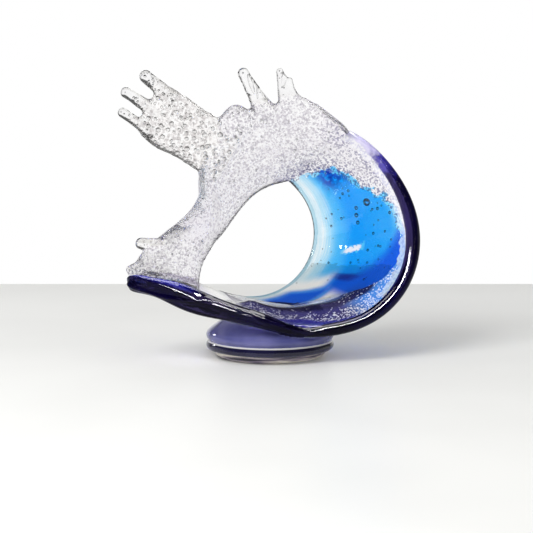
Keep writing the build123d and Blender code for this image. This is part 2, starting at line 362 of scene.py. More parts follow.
@dataclass(frozen=True)
class WaveCurl:
    """The wave's two rims as lines in space, from the tip over the bed and up the curl, in metres.

    The lines of the looks give places across and along the ribbon as shares of its size.
    """

    curl_radius: float = 96 * MM
    curl_swell: float = 4.5 * MM
    swell_waves: float = 2.7
    swell_start: float = 30.0
    curl_centre: Spot = (38 * MM, -70.5 * MM, 123 * MM)
    curl_slant: Span = (0.26, 0.29)
    curl_turns: Span = (-125, 68)
    eye_radius: float = 61 * MM
    eye_centre: Spot = (-15 * MM, 64 * MM, 108 * MM)
    eye_slant: Span = (0.47, -0.07)
    eye_turns: Span = (-97, 58)
    eye_lift: float = 6 * MM
    lift_power: int = 5
    tail_run: Spot = (-110.5 * MM, 25 * MM, 29 * MM)
    tail_bends: Spot = (1.0, 2.0, 1.05)
    tip_step: Spot = (4 * MM, 18 * MM, MM)
    steps: int = 210
    hump_height: float = 8 * MM
    hump_line: Line = ((0.0, 0.44), (0.48, 0.42), (0.6, 0.3), (0.75, 0.22))
    froth_border: Line = (
        (0.0, 0.7), (0.09, 0.72), (0.1, 0.75), (0.125, 0.78), (0.17, 0.835), (0.25, 0.857), (0.33, 0.88),
        (0.4, 0.905), (0.43, 0.933), (0.465, 0.95), (0.55, 0.971), (0.66, 0.985), (1.0, 0.985),
    )
    crown_line: Line = (
        (0.3, 0.95), (0.35, 0.85), (0.385, 0.77), (0.43, 0.66), (0.45, 0.55), (0.48, 0.47), (0.54, 0.45),
    )
    violet_line: Line = (
        (0.0, 0.95), (0.25, 0.95), (0.31, 0.75), (0.37, 0.45), (0.5, 0.42), (0.58, 0.4), (0.61, 0.32),
        (0.645, 0.2), (0.7, 0.1),
    )

    def rim(self, reach: np.ndarray, centre: Spot, slant: Span, turn: np.ndarray) -> np.ndarray:
        """Follow one rim round the curl.

        Args:
            reach: Radius at each step of the turn.
            centre: Middle of the turn, with the depth where the rim's plane starts.
            slant: Change of depth with width and with height.
            turn: Angle of each step, in radians.

        Returns:
            Points along the rim.
        """
        across = centre[0] + reach * np.cos(turn)
        height = centre[2] + reach * np.sin(turn)
        return np.stack([across, centre[1] + slant[0] * across + slant[1] * height, height], axis=1)

    def front(self) -> np.ndarray:
        """Follow the front rim.

        Returns:
            Points from the tip to the top.
        """
        turn = np.radians(np.linspace(*self.curl_turns, self.steps))
        swell = np.cos(self.swell_waves * (turn + math.radians(self.swell_start)))
        curl = self.rim(self.curl_radius + self.curl_swell * swell, self.curl_centre, self.curl_slant, turn)
        return np.concatenate([self.tail(curl[0], curl[0] + np.array(self.tail_run)), curl])

    def back(self) -> np.ndarray:
        """Follow the back rim.

        Returns:
            Points from the tip to the top.
        """
        turn = np.radians(np.linspace(*self.eye_turns, self.steps))
        reach = self.eye_radius + self.eye_lift * np.linspace(0.0, 1.0, self.steps) ** self.lift_power
        curl = self.rim(reach, self.eye_centre, self.eye_slant, turn)
        return np.concatenate([self.tail(curl[0], self.front()[0] + np.array(self.tip_step)), curl])

    def tail(self, start: np.ndarray, tip: np.ndarray) -> np.ndarray:
        """Run a rim from the tip to where the curl starts.

        Args:
            start: First point of the curl.
            tip: Point at the tip.

        Returns:
            Points from the tip, without the curl's first.
        """
        share = np.linspace(1.0, 0.0, self.steps // 2, endpoint=False)[:, None]
        return start + (tip - start)[None, :] * share ** np.array(self.tail_bends)

    def away(self, points: np.ndarray) -> np.ndarray:
        """Return the ways from the wave's eye to points, as seen from the front."""
        return unit((points - np.array(self.eye_centre)) * np.array((1.0, 0.0, 1.0)))

    def turn_round(self, points: np.ndarray, share: np.ndarray) -> np.ndarray:
        """Measure how far points lie round the front rim.

        Args:
            points: Points near the rim.
            share: Each point's share of the way along the rim.

        Returns:
            Angles in degrees, 0 to the front and 90 to the inside of the curl.
        """
        line = self.front()
        way = unit(np.gradient(line, axis=0))
        front = unit(np.array((0.0, -1.0, 0.0)) + way * way[:, 1:2])
        inside = np.cross(front, way)
        index = np.rint(share * (len(line) - 1)).astype(int)
        offset = points - line[index]
        inward = (offset * inside[index]).sum(axis=1)
        return np.degrees(np.arctan2(inward, (offset * front[index]).sum(axis=1)))


def nearest_on_line(points: np.ndarray, line: np.ndarray) -> tuple[np.ndarray, np.ndarray]:
    """Measure points against a line of points.

    Args:
        points: Points to measure.
        line: Points of the line, in order.

    Returns:
        Each point's distance to the line, and its share of the way along.
    """
    gaps = np.empty(len(points))
    shares = np.empty(len(points))
    for start in range(0, len(points), CHUNK):
        part = points[start : start + CHUNK]
        square = ((part[:, None, :] - line[None, :, :]) ** 2).sum(axis=2)
        index = square.argmin(axis=1)
        gaps[start : start + CHUNK] = np.sqrt(square[np.arange(len(part)), index])
        shares[start : start + CHUNK] = index / (len(line) - 1)
    return gaps, shares


def scattered(cells: np.ndarray, seed: int) -> np.ndarray:
    """Give every whole-number cell three shares that look random.

    Args:
        cells: Cell numbers, three to a row.
        seed: Which set of shares to give.

    Returns:
        Shares from 0 to 1, three to a row.
    """
    mixed = np.bitwise_xor.reduce(cells * np.array(CELL_PRIMES), axis=1) ^ (seed * SEED_PRIME)
    shares = []
    for _ in range(3):
        for shift, factor in MIXERS:
            mixed = ((mixed & LOW_BITS) ^ ((mixed & LOW_BITS) >> shift)) * factor
        mixed = (mixed & LOW_BITS) ^ ((mixed & LOW_BITS) >> LAST_SHIFT)
        shares.append(mixed / LOW_BITS)
    return np.stack(shares, axis=1)


def cell_gap(points: np.ndarray, size: float, seed: int) -> np.ndarray:
    """Measure points against the middles of scattered cells.

    Args:
        points: Points in space.
        size: Size of the cells.
        seed: Which scatter of cells.

    Returns:
        Distance to the nearest middle, in cell sizes.
    """
    scaled = points / size
    base = np.floor(scaled).astype(np.int64)
    nearest = np.full(len(points), np.inf)
    for step in itertools.product((-1, 0, 1), repeat=3):
        cell = base + np.array(step)
        nearest = np.minimum(nearest, np.linalg.norm(cell + scattered(cell, seed) - scaled, axis=1))
    return nearest


@dataclass(frozen=True)
class Drift:
    """Soft noise through space, such as makes a border ragged."""

    swing: float
    size: float
    seed: int

    def at(self, points: np.ndarray) -> np.ndarray:
        """Draw the noise.

        Args:
            points: Points in space.

        Returns:
            Noise that swings about 0.
        """
        scaled = points / self.size
        base = np.floor(scaled).astype(np.int64)
        share = smooth_step((0.0, 1.0), scaled - base)
        total = np.zeros(len(points))
        for step in itertools.product((0, 1), repeat=3):
            corner = np.array(step)
            weight = np.where(corner == 1, share, 1.0 - share).prod(axis=1)
            total += weight * scattered(base + corner, self.seed)[:, 0]
        return self.swing * (total * 2.0 - 1.0)


@dataclass(frozen=True)
class Froth:
    """The dimpled skin of bubbled glass."""

    cell: float
    depth: float
    seed: int
    wall: Span = (0.1, 0.75)

    def hollows(self, points: np.ndarray) -> np.ndarray:
        """Return how deep the skin is dimpled at each point."""
        return self.depth * smooth_step(self.wall, cell_gap(points, self.cell, self.seed))


@dataclass(frozen=True)
class LipTwist:
    """The two ridges that twist along the lip, as angles by the share along it, and the hollows beside."""

    upper: Line = (
        (0.0, 57), (0.056, 55), (0.112, 45), (0.157, 35), (0.18, 24), (0.213, 29), (0.247, 30),
        (0.303, 17), (0.348, 13), (0.382, 21), (0.45, 10), (0.6, 0), (1.0, 0),
    )
    lower: Line = (
        (0.0, -28), (0.034, -38), (0.079, -46), (0.135, -10), (0.169, 13), (0.18, 22), (0.202, 42),
        (0.236, 54), (0.303, 44), (0.337, 34), (0.371, 40), (0.427, 52), (0.6, 40), (1.0, 40),
    )
    depth: float = 1.6 * MM
    round_off: float = 5.0
    slope: float = 24.0
    fullness: float = 0.8
    fade_along: Span = (0.26, 0.52)
    fade_round: Span = (95, 130)

    def hollows(self, share: np.ndarray, turn: np.ndarray) -> np.ndarray:
        """Measure how deep the lip is hollowed beside its ridges.

        Args:
            share: Share of the way along the rim.
            turn: Angle round the rim, in degrees.

        Returns:
            Depths in metres.
        """
        ridge = np.minimum(*(np.abs(turn - read_line(line, share)) for line in (self.upper, self.lower)))
        gap = np.sqrt(ridge**2 + self.round_off**2) - self.round_off
        fade = 1.0 - smooth_step(self.fade_along, share)
        fade *= 1.0 - smooth_step(self.fade_round, np.abs(turn))
        return self.depth * fade * np.minimum(1.0, gap / self.slope) ** self.fullness


@dataclass(frozen=True)
class Push:
    """A soft push of the spray's outline, away from the wave's eye."""

    middle: Span
    reach: float
    rise: float

    def swell(self, glass: "FusedGlass", curl: WaveCurl) -> None:
        """Push the glass out.

        Args:
            glass: The fused skin.
            curl: The wave's rims.
        """
        gap = np.hypot(glass.points[:, 0] - self.middle[0], glass.points[:, 2] - self.middle[1])
        rise = self.rise * np.exp(-((gap / self.reach) ** 2))
        glass.points = glass.points + curl.away(glass.points) * rise[:, None]


@dataclass(frozen=True)
class Crease:
    """A groove on the front of the glass, along a straight line seen from the front."""

    start: Span
    end: Span
    half_width: float
    depth: float
    facing: Span = (-0.1, -0.5)

    def press(self, glass: "FusedGlass") -> None:
        """Press the groove into the glass.

        Args:
            glass: The fused skin.
        """
        flat = glass.points[:, (0, 2)] - np.array(self.start)
        line = np.array(self.end) - np.array(self.start)
        share = np.clip(flat @ line / (line @ line), 0.0, 1.0)
        gap = np.linalg.norm(flat - share[:, None] * line, axis=1)
        front = smooth_step(self.facing, glass.normals()[:, 1])
        glass.sink(self.depth * front * np.exp(-((gap / self.half_width) ** 2)))


@dataclass(frozen=True)
class Melt:
    """A softening of the creases where some gathers meet."""

    gathers: tuple[Gather, ...]
    reach: float
    rounds: int
    axes: tuple[int, ...] = (0, 1, 2)
    pull: float = 0.7

    def soften(self, glass: "FusedGlass") -> None:
        """Let the glass flow near the joins.

        Args:
            glass: The fused skin, measured.
        """
        table = np.sort(np.stack([glass.gaps[gather] for gather in self.gathers], axis=1), axis=1)
        weight = self.pull * np.exp(-((table[:, 1] / self.reach) ** 2)) * (table[:, 0] < self.reach)
        for _ in range(self.rounds):
            for axis in self.axes:
                values = glass.points[:, axis]
                glass.points[:, axis] = values + weight * (glass.neighbour_mean(values) - values)


DEPTH_ONLY = (1,)
MELTS = (
    Melt(SPRAY, 14 * MM, 300, DEPTH_ONLY),
    Melt((Gather.CREST, Gather.TOP_LEFT), 14 * MM, 200, DEPTH_ONLY),
    Melt(SPRAY + PULLS, 7 * MM, 40, DEPTH_ONLY),
    Melt(SPRAY, 6 * MM, 15),
    Melt(SPRAY + PULLS, 5 * MM, 30),
    Melt((Gather.TOP_RIGHT, Gather.TOP_STUB), 6 * MM, 20),
    Melt((Gather.CREST, Gather.TOP_STUB), 9 * MM, 60),
)
WEB = Push((40 * MM, 238 * MM), 15 * MM, 5 * MM)
NOTCH = Push((30 * MM, 240 * MM), 9 * MM, 5 * MM)
KNUCKLE_TOP = Push((-32 * MM, 236 * MM), 11 * MM, 3 * MM)
FINGER_CREASE = Crease((15.2 * MM, 268 * MM), (13.2 * MM, 258 * MM), 1.4 * MM, 5.0 * MM)
KNUCKLE_DEPTH = 0.62
SPOUT_SWELL = 1.6 * MM
FINE_FROTH = Froth(3.2 * MM, 0.3 * MM, 1)
BROAD_FROTH = Froth(4.6 * MM, 0.5 * MM, 2)
PULL_WAVES = Drift(0.5, 11 * MM, 4)
PULL_DEPTH = 1.1 * MM


@dataclass(frozen=True)
class Borders:
    """Where the looks of the glass change over, from 0 to 1, in marks or in metres."""

    outer_edge: Span = (0.5, 0.85)
    inner_face: Span = (0.2, -0.2)
    calm_palm: Span = (2 * MM, 9 * MM)
    calm_lip: Span = (0.5 * MM, 1.5 * MM)
    froth: Span = (-0.006, 0.006)
    froth_reach: float = 1.5 * MM
    froth_tears: tuple[Drift, ...] = (Drift(0.014, 7 * MM, 21), Drift(0.014, 3 * MM, 22))
    bed: Span = (0.02, -0.02)
    bed_start: Span = (0.2, 0.29)
    bed_end: Span = (0.76, 0.7)
    bed_slant: float = 0.205
    bed_drift: Drift = Drift(0.02, 12 * MM, 25)
    crown_drift: Drift = Drift(0.015, 9 * MM, 24)
    seam: Span = (7 * MM, 6 * MM)
    seam_start: Span = (0.6, 0.64)
    seam_tears: tuple[Drift, ...] = (Drift(2.5 * MM, 5 * MM, 27), Drift(1.8 * MM, 2.4 * MM, 28))
    # Painted highlight line behind the bed's crown: where it lies across and along.
    crown_highlight_near: Span = (-0.02, 0.0)
    crown_highlight_far: Span = (-0.04, -0.02)
    crown_highlight_start: Span = (0.25, 0.29)
    crown_highlight_end: Span = (0.54, 0.5)
    wall_start: float = 0.8
    wall_points: int = 300
    navy: Span = (36 * MM, 2 * MM)
    navy_drift: Drift = Drift(6 * MM, 14 * MM, 26)
    navy_lip: Span = (9 * MM, 2 * MM)
    navy_lip_share: float = 0.7
    side: Span = (0.68, 0.5)
    clear: Span = (3 * MM, 15 * MM)
    clear_drift: Drift = Drift(3 * MM, 6 * MM, 23)
    root: Span = (0.35, 0.15)


@dataclass
class FusedGlass:
    """The whole wave as one skin of glass, measured so that it can be cut into its gathers."""

    voxel: float = 1.0 * MM
    smooth_rounds: int = 8
    smooth_pulls: Span = (0.6, -0.62)
    far: float = 20 * MM
    borders: Borders = Borders()
    points: np.ndarray = field(init=False)
    faces: np.ndarray = field(init=False)
    edges: np.ndarray = field(init=False)
    neighbours: np.ndarray = field(init=False)
    face_owner: np.ndarray = field(init=False)
    ways: np.ndarray = field(init=False)
    tree: BVHTree = field(init=False)
    gaps: dict[Gather, np.ndarray] = field(init=False, default_factory=dict)
    marks: dict[Mark, np.ndarray] = field(init=False, default_factory=dict)

    def melt(self) -> None:
        """Fuse the solids of all gathers into one skin and smooth it without shrinking it."""
        mix = bmesh.new()
        for gather in Gather:
            mix.from_mesh(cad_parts[gather.value].data)
        blank = bpy.data.meshes.new("melt")
        mix.to_mesh(blank)
        mix.free()
        melt = add_object("melt", blank)
        remesh = melt.modifiers.new("melt", "REMESH")
        remesh.mode = "VOXEL"
        remesh.voxel_size = self.voxel
        shown = melt.evaluated_get(bpy.context.evaluated_depsgraph_get())
        skin = bpy.data.meshes.new_from_object(shown)
        self.points = read_rows(skin.vertices, "co", 3, float)
        self.faces = read_rows(skin.polygons, "vertices", 4, np.int64)
        self.edges = read_rows(skin.edges, "vertices", 2, np.int64)
        self.neighbours = np.bincount(self.edges.ravel(), minlength=len(self.points)).astype(float)
        bpy.data.objects.remove(melt)
        bpy.data.meshes.remove(blank)
        bpy.data.meshes.remove(skin)
        for pull in self.smooth_pulls * self.smooth_rounds:
            mean = np.stack([self.neighbour_mean(column) for column in self.points.T], axis=1)
            self.points = self.points + pull * (mean - self.points)

    def neighbour_mean(self, values: np.ndarray) -> np.ndarray:
        """Average a value over the neighbours of each point.

        Args:
            values: One value for each point.

        Returns:
            The averages.
        """
        first, second = self.edges[:, 0], self.edges[:, 1]
        total = np.bincount(first, values[second], len(values))
        return (total + np.bincount(second, values[first], len(values))) / self.neighbours

    def measure(self, curl: WaveCurl) -> None:
        """Measure every point against the solids and the rims.

        Args:
            curl: The wave's rims.
        """
        for gather in Gather:
            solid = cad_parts[gather.value].data
            low, high = (np.array(corner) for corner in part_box(gather.value))
            near = np.all((self.points > low - self.far / 2) & (self.points < high + self.far / 2), axis=1)
            corners = [vertex.co for vertex in solid.vertices]
            tree = BVHTree.FromPolygons(corners, [polygon.vertices for polygon in solid.polygons])
            gap = np.full(len(self.points), self.far)
            for index in np.nonzero(near)[0]:
                gap[index] = min(self.far, tree.find_nearest(self.points[index])[3])
            self.gaps[gather] = gap
        table = np.stack([self.gaps[gather] for gather in Gather], axis=1)
        self.face_owner = table[self.faces].sum(axis=1).argmin(axis=1)
        front_gap, front_share = nearest_on_line(self.points, curl.front())
        back_gap, back_share = nearest_on_line(self.points, curl.back())
        self.marks[Mark.ACROSS] = front_gap / (front_gap + back_gap)
        self.marks[Mark.ALONG] = (front_share * back_gap + back_share * front_gap) / (front_gap + back_gap)
        self.marks[Mark.RIM] = front_share
        self.marks[Mark.TURN] = curl.turn_round(self.points, front_share)
        self.marks[Mark.LIP_GAP] = self.gaps[Gather.LIP]
        self.marks[Mark.SPRAY_GAP] = np.min([self.gaps[gather] for gather in SPRAY], axis=0)

    def mark_looks(self, curl: WaveCurl) -> None:
        """Mark on every point which looks the glass has there.

        Args:
            curl: The wave's rims.
        """
        normals = self.normals()
        outward = (normals * curl.away(self.points)).sum(axis=1)
        inner = smooth_step(self.borders.inner_face, outward)
        self.mark_froth(curl, outward)
        self.mark_bed(curl, inner)
        self.mark_seam_and_highlight(curl, inner)
        self.mark_navy()
        self.marks[Mark.SIDE] = smooth_step(self.borders.side, np.abs(normals[:, 1]))
        wobble = self.borders.clear_drift.at(self.points)
        self.marks[Mark.CLEAR] = smooth_step(self.borders.clear, self.marks[Mark.SPRAY_GAP] + wobble)
        self.marks[Mark.ROOT] = smooth_step(self.borders.root, self.marks[Mark.CLEAR])

    def mark_froth(self, curl: WaveCurl, outward: np.ndarray) -> None:
        """Mark where the glass is frothy, and where it is calm along its outer edge.

        Args:
            curl: The wave's rims.
            outward: How much each point looks away from the wave's eye, -1 to 1.
        """
        edge = smooth_step(self.borders.outer_edge, outward)
        self.marks[Mark.EDGE] = edge * smooth_step(self.borders.calm_palm, self.gaps[Gather.PALM])
        ragged = sum(tear.at(self.points) for tear in self.borders.froth_tears)
        border = read_line(curl.froth_border, self.marks[Mark.ACROSS])
        upper = smooth_step(self.borders.froth, self.marks[Mark.ALONG] - border + ragged)
        upper *= smooth_step(self.borders.calm_lip, self.gaps[Gather.LIP])
        self.marks[Mark.FROTH] = np.maximum(upper, self.weight(SPRAY, self.borders.froth_reach))

    def mark_bed(self, curl: WaveCurl, inner: np.ndarray) -> None:
        """Mark the violet bed, and how far each point lies from its crown.

        Args:
            curl: The wave's rims.
            inner: How much each point belongs to the inner face, 0 to 1.
        """
        across, along = self.marks[Mark.ACROSS], self.marks[Mark.ALONG]
        past_crown = across - (read_line(curl.violet_line, along) + self.borders.crown_drift.at(self.points))
        bed = smooth_step(self.borders.bed, past_crown) * smooth_step(self.borders.bed_start, along)
        slant = along + self.borders.bed_slant * across + self.borders.bed_drift.at(self.points)
        self.marks[Mark.BED] = bed * smooth_step(self.borders.bed_end, slant) * inner
        self.marks[Mark.CREASE] = past_crown

    def mark_seam_and_highlight(self, curl: WaveCurl, inner: np.ndarray) -> None:
        """Mark the torn white seam along the lip, and a painted highlight line behind the bed's crown.

        Args:
            curl: The wave's rims.
            inner: How much each point belongs to the inner face, 0 to 1.
        """
        along = self.marks[Mark.ALONG]
        torn = self.gaps[Gather.LIP] + sum(tear.at(self.points) for tear in self.borders.seam_tears)
        seam = smooth_step(self.borders.seam, torn) * smooth_step(self.borders.seam_start, along)
        # Painted highlight: a white line just behind the bed's crown, laid with the seam's white foam.
        far_side = read_line(curl.crown_line, along) - self.marks[Mark.ACROSS]
        line = smooth_step(self.borders.crown_highlight_near, self.marks[Mark.CREASE])
        line *= smooth_step(self.borders.crown_highlight_far, far_side)
        line *= smooth_step(self.borders.crown_highlight_start, along) * smooth_step(self.borders.crown_highlight_end, along)
        self.marks[Mark.SEAM] = np.maximum(seam, line) * inner

    def mark_navy(self) -> None:
        """Mark the froth that takes a navy cast, near the blue wall and the lip."""
        calm_wall = (self.marks[Mark.FROTH] < 0.5) & (self.marks[Mark.ALONG] > self.borders.wall_start)
        wall = calm_wall & (self.gaps[Gather.LINING] < MM)
        blue = self.points[wall][:: max(1, int(wall.sum()) // self.borders.wall_points)]
        gap = nearest_on_line(self.points, blue)[0] + self.borders.navy_drift.at(self.points)
        border = smooth_step(self.borders.navy, gap) * (1.0 - self.marks[Mark.EDGE])
        lip = self.borders.navy_lip_share * smooth_step(self.borders.navy_lip, self.gaps[Gather.LIP])
        self.marks[Mark.NAVY] = np.maximum(border, lip)

    def flatten(self, gather: Gather, share: float, reach: float = 4 * MM) -> None:
        """Press a gather flatter from front to back.

        Args:
            gather: The gather to press.
            share: How much of its depth is left.
            reach: Distance over which the press fades.
        """
        low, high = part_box(gather.value)
        middle = (low[1] + high[1]) / 2
        weight = self.weight((gather,), reach) * (1.0 - share)
        self.points[:, 1] += (middle - self.points[:, 1]) * weight

    def sink(self, depths: np.ndarray) -> None:
        """Push the skin in, by depths in metres."""
        self.points = self.points - self.normals() * depths[:, None]

    def normals(self) -> np.ndarray:
        """Work out the skin's normals.

        Returns:
            The normal at each point.
        """
        corner = self.points[self.faces]
        cross = np.cross(corner[:, 2] - corner[:, 0], corner[:, 3] - corner[:, 1])
        total = np.zeros_like(self.points)
        for place, axis in itertools.product(range(4), range(3)):
            total[:, axis] += np.bincount(self.faces[:, place], cross[:, axis], len(self.points))
        return total / np.maximum(np.linalg.norm(total, axis=1, keepdims=True), 1e-12)

    def weight(self, gathers: Sequence[Gather], reach: float) -> np.ndarray:
        """Weigh how much each point belongs to some gathers.

        Args:
            gathers: The gathers asked for.
            reach: Distance over which the weight fades.

        Returns:
            Weights from 0 to 1.
        """
        inside = np.min([self.gaps[gather] for gather in gathers], axis=0)
        outside = np.min([self.gaps[gather] for gather in Gather if gather not in gathers], axis=0)
        return smooth_step((-reach, reach), outside - inside)

    def settle(self) -> None:
        """Keep the finished skin's normals, and a tree to measure against."""
        self.ways = self.normals()
        self.tree = BVHTree.FromPolygons(self.points.tolist(), self.faces.tolist())

    def own(self, gather: Gather) -> np.ndarray:
        """Return the numbers of the faces that belong to a gather."""
        return np.nonzero(self.face_owner == list(Gather).index(gather))[0]


@dataclass(frozen=True)
class BedRoll:
    """The rounded roll of the bed along the ribbon, as shares of the way across and along."""

    start: float = 0.15
    width: float = 0.7
    far_side: Span = (1.6, 0.85)
    near_end: Span = (0.2, 0.34)
    far_end: Span = (0.72, 0.46)
    facing: Span = (0.3, 0.6)
    reach: float = 3 * MM

    def rise(self, glass: FusedGlass, curl: WaveCurl) -> np.ndarray:
        """Measure how high the roll stands.

        Args:
            glass: The fused skin, measured.
            curl: The wave's rims.

        Returns:
            Heights in metres.
        """
        along = glass.marks[Mark.ALONG]
        across = glass.marks[Mark.ACROSS] / read_line(curl.hump_line, along)
        ramp = np.clip((across - self.start) / self.width, 0.0, 1.0)
        swell = smooth_step((0.0, 1.0), 0.5 * across + 0.5 * ramp) * smooth_step(self.far_side, across)
        swell *= glass.weight((Gather.LINING, Gather.SHELL), self.reach)
        swell *= smooth_step(self.near_end, along) * smooth_step(self.far_end, along)
        return curl.hump_height * swell * smooth_step(self.facing, glass.normals()[:, 2])


def shape_skin(glass: FusedGlass, curl: WaveCurl) -> None:
    """Melt the joins, froth the spray, swell the bed and hollow the lip.

    Args:
        glass: The fused skin, measured.
        curl: The wave's rims.
    """
    glass.flatten(Gather.KNUCKLE, KNUCKLE_DEPTH)
    for melt in MELTS:
        melt.soften(glass)
    for push in (WEB, NOTCH, KNUCKLE_TOP):
        push.swell(glass, curl)
    FINGER_CREASE.press(glass)
    glass.sink(-SPOUT_SWELL * glass.weight((Gather.SPOUT,), 2 * MM))
    glass.mark_looks(curl)
    pull = glass.weight(PULLS, 2 * MM)
    glass.sink(pull * (0.5 + PULL_WAVES.at(glass.points)) * PULL_DEPTH)
    lively = glass.marks[Mark.FROTH] * (1.0 - glass.marks[Mark.EDGE])
    palm = glass.weight((Gather.PALM,), 4 * MM)
    fine = FINE_FROTH.hollows(glass.points) * (1.0 - palm)
    glass.sink(lively * (fine + BROAD_FROTH.hollows(glass.points) * palm))
    glass.sink(-BedRoll().rise(glass, curl))
    lip = glass.weight((Gather.LIP,), MM)
    glass.sink(lip * LipTwist().hollows(glass.marks[Mark.RIM], glass.marks[Mark.TURN]))
    glass.points[:, 2] = np.maximum(glass.points[:, 2], 0.0)
    glass.settle()


@dataclass(frozen=True)
class Finish:
    """A glass finish: how clear, smooth and bending it is."""

    name: str
    ior: float = 1.5
    shine: float = 0.5
    roughness: float = 0.0
    clear: float = 1.0

    def colour(self, bench: NodeBench) -> Feed:
        """Return the tint of the glass."""
        return WHITE

    def normal(self, bench: NodeBench) -> Optional[Socket]:
        """Return the bumped normal, or None for a smooth skin."""
        return None

    def material(self) -> bpy.types.Material:
        """Return the finish's material, made on first use."""
        return bpy.data.materials.get(self.name) or self.make()

    def make(self) -> bpy.types.Material:
        """Make the material.

        Returns:
            The new material.
        """
        material = bpy.data.materials.new(self.name)
        bench = NodeBench.fresh(material)
        tint = bench.blend(bench.mark(Mark.AIR), self.colour(bench), WHITE)
        bench.glass(tint, self, self.normal(bench))
        return material


@dataclass(frozen=True)
class Specks:
    """The look of fine froth in clear glass: a pale cast with white and dark specks."""

    tint: Colour = (0.985, 0.98, 0.985)
    deep: Colour = (0.95, 0.94, 0.955)
    dark: Colour = (0.72, 0.70, 0.74)
    navy: Colour = (0.22, 0.22, 0.46)
    cell: float = 1.6 * MM
    dimple: float = 0.16 * MM
    patch_scale: float = 40.0
    patch_span: Span = (0.35, 0.65)
    dark_span: Span = (0.58, 0.74)
    dark_share: float = 0.9
    navy_crowding: float = 0.12
    white_span: Span = (0.42, 0.26)
    dimple_span: Span = (0.1, 0.6)

    def colour(self, bench: NodeBench, lively: Feed) -> Socket:
        """Lay the tint: cloudy patches with specks.

        Args:
            bench: Where to lay the nodes.
            lively: Strength of the specks, 0 to 1.

        Returns:
            The tint.
        """
        patches = bench.eased(bench.grain(self.patch_scale, 3.0), self.patch_span)
        base = bench.ramp(patches, ((0.0, self.tint), (1.0, self.deep)))
        speck = bench.cells(self.cell, "Color")
        near_blue = bench.mark(Mark.NAVY)
        dense = bench.plus(speck, bench.times(near_blue, self.navy_crowding))
        shade = bench.times(bench.eased(dense, self.dark_span, 0.0, self.dark_share), lively)
        base = bench.blend(shade, base, bench.tinted(near_blue, linear(*self.dark), self.navy))
        return bench.blend(bench.times(bench.eased(speck, self.white_span), lively), base, WHITE)

    def height(self, bench: NodeBench, lively: Feed) -> Socket:
        """Return the height of the fine dimples, in metres, by their strength from 0 to 1."""
        dimple = bench.eased(bench.cells(self.cell), self.dimple_span, 0.0, self.dimple)
        return bench.times(dimple, lively)


@dataclass(frozen=True)
class SprayFinish(Finish):
    """Clear glass full of fine bubbles, with a calm band along its outer edge."""

    specks: Specks = Specks()
    band: Colour = (0.95, 0.93, 0.965)

    def colour(self, bench: NodeBench) -> Feed:
        """Return the tint: specks, fading to the calm band."""
        calm = bench.mark(Mark.EDGE)
        return bench.tinted(calm, self.specks.colour(bench, bench.rest(calm)), self.band)

    def normal(self, bench: NodeBench) -> Optional[Socket]:
        """Return the normal of a finely dimpled skin."""
        return bench.bump(self.specks.height(bench, bench.rest(bench.mark(Mark.EDGE))))


@dataclass(frozen=True)
class PulledFinish(Finish):
    """Clear pulled glass: frothy at the root, faintly uneven along the pull."""

    specks: Specks = Specks()
    tint: Colour = (0.995, 0.995, 0.995)
    deep: Colour = (0.97, 0.965, 0.97)
    cloud_scale: float = 60.0
    wave_scale: float = 110.0
    wave_height: float = 0.9 * MM

    def colour(self, bench: NodeBench) -> Feed:
        """Lay the tint, from froth at the root to clear.

        Args:
            bench: Where to lay the nodes.

        Returns:
            The tint.
        """
        clear = bench.mark(Mark.CLEAR)
        froth = self.specks.colour(bench, bench.rest(clear))
        body = bench.ramp(bench.grain(self.cloud_scale), ((0.35, self.tint), (0.7, self.deep)))
        return bench.blend(clear, froth, body)

    def normal(self, bench: NodeBench) -> Optional[Socket]:
        """Lay the normal: dimples at the root, slow waves along the pull.

        Args:
            bench: Where to lay the nodes.

        Returns:
            The normal.
        """
        froth = self.specks.height(bench, bench.rest(bench.mark(Mark.CLEAR)))
        wave = bench.times(bench.grain(self.wave_scale, 1.0), self.wave_height)
        return bench.bump(bench.plus(froth, wave))


